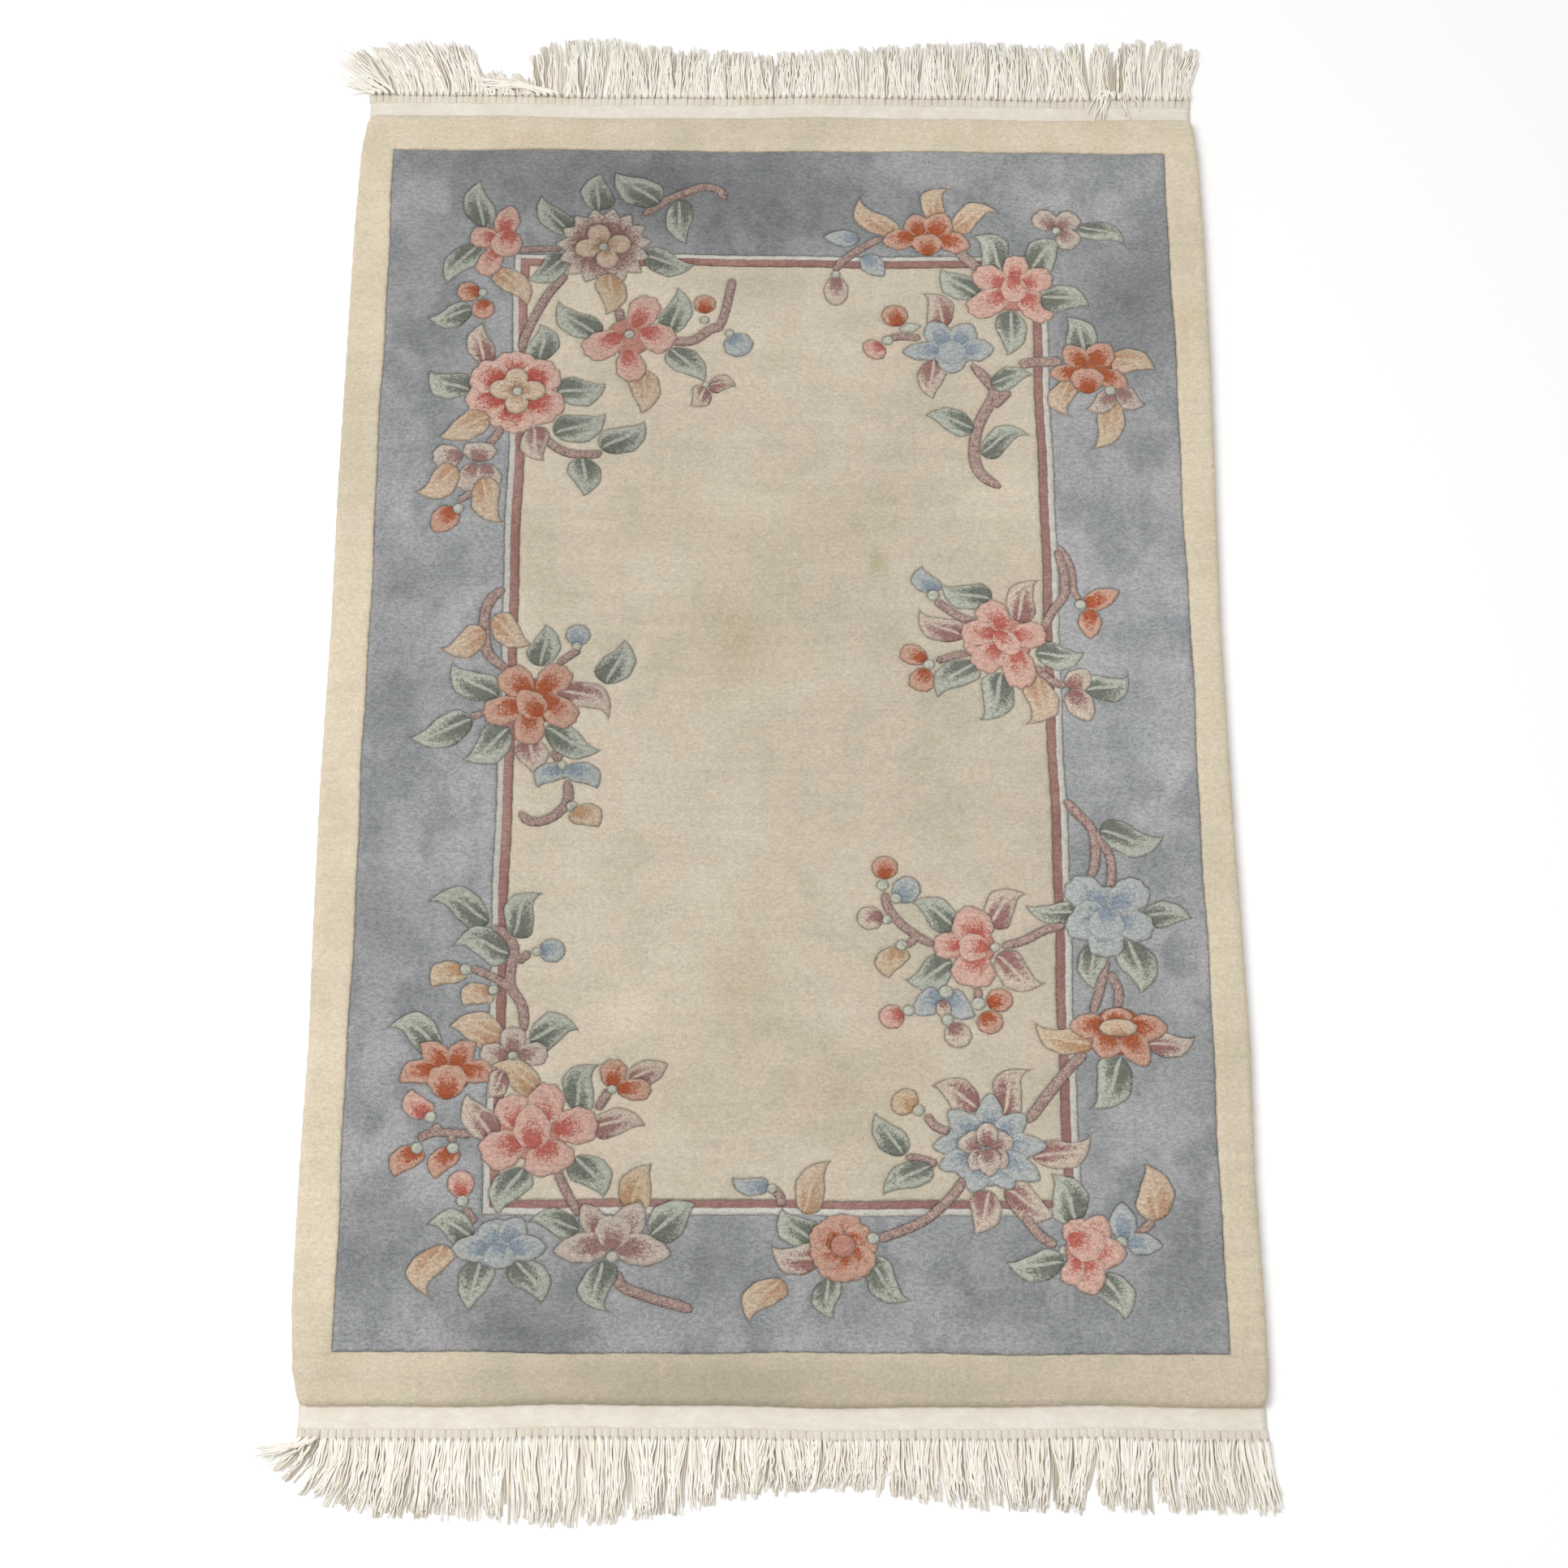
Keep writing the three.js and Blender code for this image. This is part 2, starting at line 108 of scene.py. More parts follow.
# X of a root, the lean of its tip, and the tip's reach from the rug's middle
FAR_FRINGE = table("""
-455 -28 855, -400 -24 868, -345 -16 869, -328 -14 862, -320 -13 828, -276 -8 822, -266 -6 866,
-238 -4 873, -183 0 876, -129 2 863, -20 -2 856, 90 3 864, 199 2 874, 308 -2 868, 418 6 878, 455 10 866
""")
NEAR_FRINGE = table("""
-455 -24 822, -440 -21 838, -425 -18 850, -405 -13 859, -380 -8 867, -290 0 872, -199 3 878, -109 0 868,
-64 -2 855, 27 -2 841, 72 1 842, 162 3 859, 253 -2 861, 283 -3 864, 291 -6 846, 299 4 860, 343 3 863,
351 -6 842, 360 4 862, 455 8 864
""")
# Yarns swept aside: X of the first and the last root, X and Y of the tips, how far out the yarns bow
FAR_SWEPT = table("""
-456 -449 -480 807 3, -448 -441 -489 822 6, -440 -434 -492 838 9, -433 -427 -486 852 12,
-274 -246 -334 815 10, 362 373 352 762 15, 376 384 386 768 14
""")
NEAR_SWEPT = table("-456 -432 -490 812 6")
ENDS = [
    # name, side, seed of the knots, seed of the yarns, fringe, swept yarns
    ("far", 1, 5, 11, FAR_FRINGE, FAR_SWEPT),
    ("near", -1, 6, 12, NEAR_FRINGE, NEAR_SWEPT),
]


@dataclass
class Yarn:
    """A dyed wool: its deep and pale tones, how far the deep one reaches, and how its motifs are shorn."""
    deep: tuple
    pale: tuple
    reach: float = 0.5
    rib: float = 0.0
    dome: float = 0.8
    piece: str = "blossoms"


YARNS = {
    "green": Yarn((113, 117, 105), (182, 184, 170), 0.58, 1.0, 0.9, "leaves"),
    "mauve": Yarn((150, 110, 104), (202, 186, 170), 0.56, 1.0, 0.9, "leaves"),
    "peach": Yarn((184, 148, 118), (204, 182, 158), 0.45, 0.6, 0.9, "leaves"),
    "tan": Yarn((182, 146, 112), (204, 183, 156), 0.5, 0.6, 0.9, "leaves"),
    "pink": Yarn((182, 98, 86), (210, 172, 157), 0.52),
    "rose": Yarn((177, 83, 70), (214, 178, 163), 0.66),
    "orange": Yarn((166, 86, 52), (198, 158, 138), 0.6),
    "blue": Yarn((137, 148, 158), (177, 180, 177), 0.52),
    "cream": Yarn((149, 115, 107), (197, 182, 169), 0.57),
    "dusk": Yarn((146, 108, 98), (206, 192, 178), 0.68),
    "yellow": Yarn((174, 139, 109), (207, 184, 160), 0.36),
    "eye": Yarn((184, 186, 173), (194, 194, 179), 0.3, 0.0, 1.2),
    "blush": Yarn((206, 132, 124), (190, 136, 121), -1.0),
    "coral": Yarn((200, 124, 92), (166, 94, 62), -1.0),
    "sky": Yarn((150, 164, 174), (170, 174, 174), -1.0),
    "oyster": Yarn((186, 160, 152), (174, 158, 146), -1.0),
    "stem": Yarn((144, 112, 106), (184, 162, 150), 0.5, 0.0, 0.7, "stems"),
}
# The yarns that make up one flower, with only a shallow groove and a faint painted shadow line between their
# motifs
KIN = {"rose": "pink", "blush": "pink", "coral": "orange", "sky": "blue", "oyster": "cream", "dusk": "cream"}
GROUND_TONES = {
    # four tones of each ground: two broad patches, a third over them, and small flecks
    "guard": [(229, 216, 190), (219, 206, 180), (231, 215, 192), (216, 204, 177)],
    "border": [(178, 176, 177), (156, 159, 159), (144, 147, 149), (178, 175, 172)],
    "white_line": [(214, 211, 202), (206, 203, 194), (212, 207, 196), (196, 190, 178)],
    "mauve_line": [(164, 126, 118), (152, 112, 104), (170, 134, 124), (142, 104, 96)],
    "field": [(209, 198, 178), (195, 185, 164), (208, 192, 172), (217, 207, 187)],
}
GROUND_GRAIN = {"guard": 0.2, "border": 0.4, "white_line": 0.3, "mauve_line": 0.4, "field": 0.23}
MOTIF_GRAIN = 0.4
# Painted shadow: the dark tone laid along each shorn groove
GROOVE_SHADOW_TONE = (70, 68, 64)
WEB_TONES = [(236, 230, 220), (230, 222, 209), (213, 204, 187)]
# Cotton: two broad patches, a darker tone that strands take at random, painted shade in the gaps between
# strands, and painted shade on the strands underneath
KNOT_TONES = [(223, 216, 202), (216, 207, 191), (206, 196, 177), (120, 106, 84), (184, 172, 148)]
YARN_TONES = [(250, 246, 237), (246, 240, 228), (229, 218, 198), (112, 96, 72), (184, 172, 148)]
# Where the painted shade in the gaps starts and stops along a knot or a yarn, and how dark it is there
KNOT_GAPS = (0.5, 1.0, 0.4, 0.85)
YARN_GAPS = (0.02, 0.08, 0.5, 0.0)

# The sprays in the order that they overlap, back to front. A leaf is pointed, a petal broad at its end and
# a bud round: yarn, foot x y, tip x y, width and how far it bends to its left. A disc is yarn, x y, radius,
# and an eye is a disc of its own yarn. A stem is its width and the points that it passes. A ring is petals
# round a middle: yarn, count, x y, inner and outer radius, width, turn in degrees. Numbers alone repeat the
# form and the yarn before them.
SPRAYS = """
stem 8 -284 577 -260 579 -238 579, 10 -232 545 -250 520 -262 495 -272 470 -279 445
10 -150 625 -125 645 -100 658 -85 664 -68 660 -60 648, 10 -175 500 -172 485 -168 472
leaf green -324 608 -328 671 33 4, -328 585 -360 531 32 -4, -229 598 -261 651 30 4
-333 497 -380 487 30 4, -232 568 -275 538 30 4, -199 631 -196 681 35 3, -112 645 -102 586 30 -3
-133 641 -181 683 40 2, -150 570 -93 560 33 -5
leaf peach -307 552 -274 503 30 4
disc blush -308 590 18
star pink -302 598 -294 637 28
petal pink -308 592 -338 596 28, -308 580 -322 543 27
bud pink -295 603 -301 568 34
bud orange -325 521 -350 521 26, -320 511 -322 485 25
eye -322 520 5
ring dusk 15 -192 582 6 52 26 8
leaf tan -185 546 -189 492 33 4
bud yellow -194 586 -202 612 25, -196 581 -224 579 25, -188 584 -163 588 25, -191 578 -186 553 25
eye -193 582 5
stem 11 -120 457 -95 458 -75 473 -62 476, 9 -65 476 -58 505 -52 540
leaf green -196 462 -239 509 34 5, -258 430 -260 478 34 -4, -120 466 -112 527 32 -4
-119 447 -82 404 32 2
leaf peach -146 420 -149 363 33 2
disc blush -163 462 24
petal pink -170 465 -210 440 36, -165 445 -157 405 32, -157 474 -140 515 34, -150 472 -116 452 38
eye -163 466 5.5
bud orange -82 494 -82 518 24
eye -82 485 5
bud blue -55 464 -36 441 32
leaf mauve -80 397 -97 374 24 3, -77 400 -48 398 22 3
eye -80 401 4, -55 468 5
stem 10 -255 340 -245 325 -225 312 -200 310 -190 313
leaf mauve -318 426 -319 480 29 4
leaf green -332 391 -375 417 37 5, -239 389 -187 401 38 -4, -240 336 -187 362 38 -4
-190 317 -145 353 36 -4, -210 306 -208 258 34 2
leaf mauve -263 345 -250 302 32 -4
disc blush -282 391 40
petal rose -284 398 -285 442 46, -272 400 -240 421 44, -270 386 -238 358 48, -284 376 -289 338 48
-294 386 -333 370 46, -292 398 -328 419 44
bud yellow -282 394 -283 421 25, -284 392 -311 395 25, -278 391 -251 393 25, -281 388 -282 362 25
eye -281 391 5.5
leaf peach -310 358 -362 332 33 1
stem 9 -297 345 -302 333 -311 321, 8 -325 262 -332 256 -340 250
petal cream -336 308 -368 306 30, -324 299 -334 264 24, -314 298 -303 267 26, -320 300 -318 325 36
leaf peach -341 291 -385 262 34 6, -316 279 -291 224 32 -6
drop orange -343 242 -363 212 29
eye -339 241 6
stem 8 -208 68 -222 57 -230 50, 8 -318 -14 -311 -11 -305 -8
11 -288 142 -300 130 -306 115 -307 95 -303 65 -290 50 -280 42, 10 -232 -53 -228 -60 -225 -65
10 -217 -88 -216 -110 -225 -125 -240 -135 -255 -135 -264 -125
leaf green -291 11 -338 51 36 5, -316 -17 -379 -38 37 4, -278 -27 -324 -63 38 5, -241 -26 -184 -52 34 -5
-248 48 -244 98 32 -2, -180 27 -162 80 35 -3
leaf mauve -257 -40 -252 -80 34 1, -231 21 -177 -15 34 9
leaf peach -305 89 -351 69 32 5, -299 107 -257 74 31 -4
bud blue -211 73 -209 98 25
eye -211 72 5
disc coral -256 5 28
petal orange -258 15 -286 42 36, -248 15 -221 46 34, -245 11 -213 -21 34, -264 2 -304 -12 34
-258 -4 -257 -46 32
star orange -246 -13 -268 18 30
drop blue -221 -71 -247 -96 25 -4, -217 -71 -187 -97 27 4
eye -223 -70 5, -212 -118 6
drop tan -210 -121 -185 -142 29 3
stem 10 -253 -372 -256 -345 -268 -322 -268 -300 -266 -280 -275 -264 -289 -256
9 -268 -325 -285 -313 -308 -302, 9 -262 -296 -256 -290 -250 -285
leaf green -292 -250 -353 -229 35 -9, -267 -267 -239 -219 34 8, -270 -287 -327 -279 36 -8
-334 -391 -388 -370 36 -9, -248 -382 -200 -371 37 6
bud blue -241 -283 -215 -283 26
eye -243 -284 5
drop tan -316 -301 -345 -324 29 -4
eye -313 -304 6
drop peach -287 -326 -314 -345 28 -4
eye -285 -327 5.5
leaf peach -274 -378 -327 -368 38 -3
petal cream -264 -396 -264 -368 26, -267 -398 -296 -399 27, -260 -398 -230 -396 26
eye -264 -399 5
disc coral -327 -420 22
star orange -330 -416 -355 -386 28 -3, -322 -414 -300 -385 28 3, -336 -414 -373 -429 28 -4
-316 -414 -282 -428 28 4
petal orange -327 -447 -327 -410 38
stem 9 -353 -490 -340 -483 -320 -483 -302 -485, 8 -337 -473 -335 -478 -333 -483
8 -320 -483 -320 -488 -320 -494, 9 -305 -563 -301 -570 -295 -578
leaf tan -236 -437 -285 -410 30 -4
leaf mauve -280 -490 -307 -441 33 2, -272 -416 -290 -444 22 3
drop pink -346 -467 -361 -436 27 3
drop orange -352 -498 -374 -530 27 -3, -319 -498 -334 -532 26 -3
bud pink -309 -551 -311 -523 26
eye -354 -499 6, -319 -499 6, -342 -466 6, -308 -555 6
stem 9 -218 -522 -208 -545 -195 -570, 9 -180 -457 -174 -446 -168 -435
leaf mauve -186 -475 -133 -475 30 4
leaf green -202 -458 -178 -409 34 8, -200 -508 -173 -551 36 4, -250 -520 -272 -570 34 -4
disc blush -240 -478 34
petal pink -255 -478 -268 -443 36, -236 -478 -226 -430 36, -222 -480 -180 -470 40, -252 -490 -290 -510 42
-232 -492 -220 -526 50
star pink -241 -500 -245 -452 36
leaf mauve -150 -425 -112 -408 26
petal orange -166 -434 -164 -403 26, -162 -434 -128 -436 24
eye -166 -435 5
stem 11 -159 -628 -152 -644 -126 -655 -100 -663 -86 -668
leaf tan -148 -564 -126 -516 34 3
leaf green -126 -590 -84 -557 38 1, -195 -585 -243 -577 28 -4, -173 -618 -165 -670 35 -8
-295 -593 -341 -581 33 -6, -288 -614 -297 -669 32 -1, -255 -617 -230 -662 34 4
disc oyster -163 -595 22
star cream -172 -592 -192 -558 26, -158 -596 -136 -556 32, -166 -600 -219 -608 32, -160 -602 -107 -610 34
petal cream -163 -606 -162 -570 34
eye -163 -613 6
disc sky -272 -600 26
star blue -275 -600 -285 -577 26, -265 -598 -250 -573 28, -262 -605 -226 -603 28, -280 -605 -317 -605 28
petal blue -271 -600 -271 -625 30
leaf peach -325 -601 -335 -656 34 -10
stem 9 -10 -540 -3 -548 0 -560, 10 88 -595 110 -587 135 -575 155 -558 170 -540 177 -525
9 150 -515 135 -510 120 -507, 9 167 -482 150 -475 140 -462
drop blue -13 -541 -48 -530 20 3
eye -10 -541 5
leaf peach 20 -567 47 -512 30 5
leaf green 30 -598 0 -562 34 4
leaf mauve 40 -616 -10 -601 34 6
leaf peach -1 -636 -31 -681 31 -6
leaf green 43 -635 49 -676 28 -4, 82 -615 122 -657 31 -6
petal orange 58 -604 56 -568 40, 58 -604 88 -590 36, 58 -604 82 -630 38, 58 -604 50 -638 38
58 -604 27 -612 36, 58 -604 30 -582 34
disc blush 58 -601 12
eye 87 -593 6
leaf green 117 -505 91 -461 29 1, 144 -516 98 -547 29 -3
bud tan 130 -455 109 -441 30
eye 133 -457 6
stem 11 298 -394 285 -406 274 -420 259 -440 247 -457 238 -469
leaf mauve 191 -455 147 -431 34 -4, 215 -461 243 -413 32 8, 243 -508 299 -483 33 -7
215 -540 266 -566 33 -5, 200 -543 183 -588 32 3
disc sky 198 -498 40
star blue 200 -485 204 -438 27, 192 -486 162 -457 27, 186 -492 146 -496 25, 188 -503 152 -519 24
196 -510 182 -545 26, 204 -510 222 -541 27, 208 -486 237 -461 27, 210 -494 257 -495 26
208 -504 249 -531 27
petal cream 190 -500 178 -482 28, 205 -500 216 -480 28
star cream 196 -500 182 -521 20, 204 -500 216 -519 20
bud mauve 198 -496 200 -470 22
star cream 199 -498 201 -528 22
stem 10 233 -570 248 -590 262 -600, 9 338 -590 348 -582 357 -573
leaf green 283 -576 260 -525 38 -4, 269 -618 215 -617 32 4, 305 -628 325 -677 34 4
leaf blue 328 -593 327 -554 26, 330 -596 365 -600 23
eye 325 -596 6, 270 -605 5
leaf peach 361 -573 351 -514 37 -3
disc blush 293 -606 22
petal pink 288 -604 281 -572 30
star pink 292 -602 309 -568 32, 292 -606 330 -608 34, 286 -612 298 -651 36
petal pink 284 -612 272 -640 22, 274 -590 306 -606 36
stem 10 287 -108 300 -125 312 -140 316 -160 314 -185 309 -198
9 318 -145 325 -160 331 -180 330 -205 327 -215, 9 322 -288 318 -310 313 -330 306 -350
9 325 -305 333 -325 331 -347
leaf green 321 -145 386 -149 36 -8, 303 -238 244 -230 25 4, 360 -240 409 -244 30 2
312 -270 310 -324 29 -3, 345 -269 354 -328 38 4, 333 -398 301 -454 38 6
disc sky 325 -240 32
petal blue 324 -232 288 -203 38, 330 -232 364 -206 38
star blue 322 -242 290 -238 32
petal blue 322 -244 284 -258 32, 332 -246 370 -258 34, 322 -252 323 -288 36, 324 -232 323 -268 36
leaf mauve 358 -385 406 -376 28 -4
leaf tan 306 -387 250 -361 30 6
disc coral 331 -370 26
star orange 318 -365 283 -364 28, 330 -362 330 -344 30, 342 -366 380 -366 30, 322 -374 315 -400 30
338 -372 358 -408 28
bud peach 331 -376 331 -356 38
stem 9 219 -276 240 -270 262 -258 282 -252, 9 152 -275 135 -265 118 -250 106 -232 103 -215
8 133 -267 128 -272 122 -275
bud orange 103 -200 104 -174 26
bud blue 117 -226 132 -199 28
bud mauve 101 -243 75 -246 26
drop tan 117 -277 106 -312 29 -4
eye 101 -207 6, 114 -222 6, 105 -246 5, 119 -275 6
leaf green 173 -255 130 -227 32 -4, 169 -294 122 -313 36 5
leaf mauve 206 -252 244 -217 34 6, 213 -287 260 -317 35 -6
disc blush 190 -277 22
star pink 195 -272 184 -231 42
petal pink 180 -276 151 -275 30, 194 -284 186 -321 44, 206 -278 176 -277 31
eye 212 -277 5
stem 8 194 -322 194 -331 194 -339
bud orange 203 -341 227 -331 26, 198 -350 212 -371 26
drop blue 158 -329 126 -347 27 2, 161 -329 191 -353 27 -2
bud mauve 159 -336 160 -356 15, 168 -362 178 -388 27
bud pink 120 -352 96 -358 26
eye 125 -348 6, 162 -327 7, 194 -340 7, 163 -358 6
stem 9 160 130 175 117 190 107 205 104, 8 160 56 180 63 200 68, 9 262 50 275 35 292 26
7 311 130 305 142 304 163 299 182 290 198, 9 270 94 282 118 294 136 296 154 293 175 288 193
drop blue 159 139 147 171 26 4
petal orange 150 56 124 70 24, 148 48 142 20 27
eye 152 52 6, 158 136 6.5
leaf mauve 244 104 268 155 32 6, 189 85 144 118 31 6
leaf green 218 131 167 150 33 5, 200 55 161 12 34 -5, 227 41 203 -14 36 6, 263 65 312 67 32 -4
313 21 357 40 34 -6
leaf peach 265 38 250 -19 37 9
star mauve 296 23 316 46 27, 298 22 316 -15 29
disc blush 229 80 30
petal pink 212 80 190 70 24, 230 95 210 127 34, 236 85 274 90 32, 224 88 186 92 30, 226 75 202 47 34
241 74 248 24 34
bud pink 222 92 244 66 24
leaf orange 314 124 352 143 24, 320 120 320 84 24
eye 311 126 6
stem 9 110 597 85 580 68 565 58 552, 12 193 578 204 567 215 555
leaf blue 86 594 47 597 22, 90 572 112 545 25
bud mauve 60 544 60 506 26
eye 60 547 5
leaf peach 124 600 88 652 30 8, 165 618 187 663 30 9, 187 608 238 632 30 8
disc coral 160 601 24
star orange 152 600 146 629 30, 166 600 180 630 32, 145 598 111 590 28, 175 596 206 584 28
petal orange 160 573 159 601 32
leaf green 240 553 207 598 36 -9, 272 556 307 592 38 4, 325 612 375 588 26 5, 213 519 175 555 36 3
petal cream 299 609 280 631 27, 303 609 323 629 27, 304 605 322 586 28
eye 301 607 5
disc blush 253 528 28
petal pink 253 537 257 573 28, 258 530 293 549 32, 246 530 211 553 34, 248 525 204 497 34
258 522 293 491 36
bud pink 253 545 252 511 28
stem 12 205 428 222 406 228 390 214 360 207 338 205 308 212 287 231 271, 12 256 428 270 432 302 433
10 244 395 236 385 226 374
leaf green 249 500 243 441 33 2, 282 518 333 505 36 4, 328 443 308 491 36 -4, 225 403 269 415 27 3
205 345 154 362 30 -3, 212 314 264 337 29 8
leaf peach 350 437 401 422 33 4, 308 411 309 362 30 -8, 358 384 331 321 31 5
disc coral 331 424 24
star orange 325 428 306 454 28, 335 430 353 457 32, 314 418 288 418 22, 343 417 371 401 26
petal orange 328 392 328 424 35
leaf cream 357 392 325 372 24 3, 360 395 389 378 26 -3
eye 352 396 6
bud orange 127 479 119 506 28
leaf eye 128 474 151 479 12
stem 9 150 463 130 465 115 462
bud pink 109 455 92 441 28
leaf mauve 177 478 155 521 32 -5, 164 435 163 384 30 -2
disc sky 184 450 24
star blue 176 455 161 485 30, 190 455 205 482 30, 195 446 229 450 30, 172 446 131 445 24
183 440 183 417 30
disc sky 184 444 15
eye 115 460 6
"""

# Marks that use has left on the wool: what they do to its colour, then where they are and how strong, as
# x, y, half width, half length and strength
STAINS = [
    # tan
    ((0.80, 0.70, 0.52), table("""
    -50 85 62 75 0.2, 45 225 75 45 0.24, -115 230 60 40 0.14, -40 -315 38 60 0.3, 60 -440 60 35 0.3,
    122 -411 28 30 0.28, -90 -430 50 40 0.18, 437 490 22 16 0.35, 350 755 30 10 0.3, -285 725 40 14 0.25
    """)),
    # green
    ((0.70, 0.68, 0.48), table("-45 85 30 45 0.3, 100 175 9 14 0.75")),
    # grey
    ((0.60, 0.60, 0.62), table("""
    -65 -495 7 7 0.35, -30 -500 5 7 0.35, -70 -620 14 34 0.45, -53 -582 8 8 0.4, -42 -622 8 8 0.4,
    130 -690 14 20 0.4, -256 487 3 3 0.4
    """)),
]
# Broad patches on each ground and on the motifs, partly the wool's own tone and wear, partly painted light
# and shade; the motif rows are painted shade on the left of the rug and painted light on its right. Each row
# is x, y, half width, half length and strength, below zero for a lighter one
PATCHES_AND_PAINTED_SHADE = {
    "border": table("""
    -130 660 250 95 0.4, -360 690 110 60 0.16, -120 655 60 45 0.16, 10 615 70 35 0.2,
    -380 655 40 35 -0.22, 290 670 45 40 -0.12, -180 -665 35 25 -0.1, -405 -516 30 25 -0.12,
    -413 -451 25 30 0.12, -389 -370 35 35 -0.04, -397 -242 30 35 0.12, -389 -140 35 50 -0.05,
    -395 40 30 40 0.1, -405 145 25 30 0.12, -372 226 30 30 -0.12, 385 -50 35 40 -0.12, 200 -660 60 30 0.1,
    375 665 60 50 -0.14, 390 520 60 75 0.32, -380 470 80 130 0.17, -400 180 50 50 0.14, -390 0 60 60 0.08,
    -400 -300 60 110 0.12, -390 -230 70 270 0.07, -400 -560 60 60 0.09, 370 60 90 220 -0.19,
    310 0 30 200 -0.06, 400 -300 60 70 -0.04, 400 -600 60 70 0.13, -240 -690 70 40 0.26,
    -220 -640 220 70 0.14, -398 -612 30 22 0.14, -345 -668 40 26 -0.08, 60 -660 60 30 0.08,
    200 -640 50 40 0.08, 380 -470 50 50 -0.05, 120 690 60 30 -0.07, 395 385 22 30 -0.08
    """),
    "guard": table("""
    -140 -740 170 60 0.16, 60 -745 480 50 0.25, -60 740 200 50 0.1, -447 300 30 120 0.1,
    -447 -300 30 90 0.04, 447 -450 30 200 0.06
    """),
    "white_line": table("-288 0 30 700 0.16"),
    "field": table("""
    -40 545 60 40 0.05, -148 -353 30 30 -0.16, 30 50 60 45 -0.06, -15 250 35 30 -0.06,
    235 250 60 80 -0.11, 40 460 150 90 -0.05, 60 60 110 140 0.05
    """),
    "motif": table("""
    -190 0 110 2000 0.1, -200 620 130 90 0.18, -350 600 60 100 0.1, -345 -200 60 90 0.1,
    20 450 70 70 0.06, 270 0 130 2000 -0.1, 215 620 50 70 -0.1, 350 120 70 120 -0.12
    """),
}


# Outlines of the motifs

# How the width of a motif grows from its foot and closes at its tip, as powers, on the outer and the inner
# side, and how far its end is lobed
FAMILIES = {
    "leaf": (0.60, 0.84, 1.3, 0.0),
    "petal": (0.56, 0.40, 0.46, 0.03),
    "star": (0.52, 0.70, 0.86, 0.0),
    "bud": (0.50, 0.50, 0.50, 0.0),
    "drop": (0.46, 0.60, 0.95, 0.0),
}
FRILL = 0.04
FRILL_RATE = 17
LOBES = 3
LEAF_BOW = 9.0
LEAF_FULLNESS = 1.02
STATION = 2.6


@dataclass
class Shape:
    """One area of the pile: its yarn, its outline, and the function that gives places along and across it."""
    yarn: str
    outline: np.ndarray
    lengthwise: object = None
    ribbed: bool = False


def profile(family, t, outer):
    """The half width of one side at a share of the length, as a share of the widest."""
    foot, outer_tip, inner_tip, _ = FAMILIES[family]
    tip = outer_tip if outer else inner_tip
    widest = foot / (foot + tip)
    most = widest ** foot * (1 - widest) ** tip
    return t ** foot * (1 - t) ** tip / most


def lens_shape(yarn, family, foot, tip, width, bend=0.0):
    """A leaf, petal or bud that bows to its left, so that its tip hooks to the right."""
    foot = np.array(foot)
    along = np.array(tip) - foot
    length = np.linalg.norm(along)
    along /= length
    left = np.array([-along[1], along[0]])
    # The place of the foot makes the frill of each motif its own
    phase = foot.sum()
    lobe = FAMILIES[family][3] * length
    if family == "leaf":
        width *= LEAF_FULLNESS

    def bow(t):
        return bend * LEAF_BOW * t * t * (1 - t)

    def half(t, side):
        frill = 1 + FRILL * np.sin(FRILL_RATE * t + phase + side)
        return width / 2 * profile(family, t, side * bend >= 0) * frill

    def edge(t, side):
        across = side * half(t, side)
        lobed = lobe * np.cos(LOBES * np.pi * across / width * 2 + phase) * t ** 3
        return foot + np.outer(t * length + lobed, along) + np.outer(bow(t) + across, left)

    def lengthwise(places):
        offset = places - foot
        u = np.clip(offset @ along / length, 0.001, 0.999)
        across = offset @ left - bow(u)
        room = np.where(across > 0, half(u, 1), half(u, -1))
        return u, across / (room + 0.5)

    count = max(8, round(length / STATION) + 4)
    t = (1 - np.cos(np.pi * np.arange(count + 1) / count)) / 2
    outline = np.concatenate([edge(t, -1), edge(t, 1)[-2:0:-1]])
    return Shape(yarn, outline, lengthwise, family == "leaf")


def disc_shape(yarn, middle, radius):
    """A round spot, whose places run from its middle to its rim."""
    count = max(10, round(2 * math.pi * radius / STATION))
    angles = 2 * np.pi * np.arange(count) / count

    def lengthwise(places):
        return np.linalg.norm(places - middle, axis=1) / radius, 0.0

    return Shape(yarn, middle + radius * np.stack([np.cos(angles), np.sin(angles)], 1), lengthwise)


def smooth_line(points, step):
    """A curve through the points, with a station about every step."""
    padded = np.concatenate([[2 * points[0] - points[1]], points, [2 * points[-1] - points[-2]]])
    runs = []
    for p0, p1, p2, p3 in zip(padded, padded[1:], padded[2:], padded[3:]):
        count = max(2, round(np.linalg.norm(p2 - p1) / step))
        t = np.arange(count)[:, None] / count
        square = (2 * p0 - 5 * p1 + 4 * p2 - p3) * t * t
        cube = (3 * p1 - p0 - 3 * p2 + p3) * t ** 3
        runs.append(0.5 * (2 * p1 + (p2 - p0) * t + square + cube))
    return np.concatenate([*runs, points[-1:]])


def stem_shape(width, points):
    """A stem of even width with rounded ends."""
    line = smooth_line(points, STATION)
    along = np.gradient(line, axis=0)
    along /= np.linalg.norm(along, axis=1)[:, None]
    left = np.stack([-along[:, 1], along[:, 0]], 1)
    t = np.linspace(0, 1, len(line))
    half = width / 2 * (1 - 0.7 * np.abs(2 * t - 1) ** 14)
    ragged = 0.25 * np.sin(np.arange(len(line)) * 2.3)
    right_side = line - left * (half + ragged)[:, None]
    left_side = line + left * (half - ragged)[:, None]
    return Shape("stem", np.concatenate([right_side, left_side[::-1]]), lambda places: (0.5, 0.0))


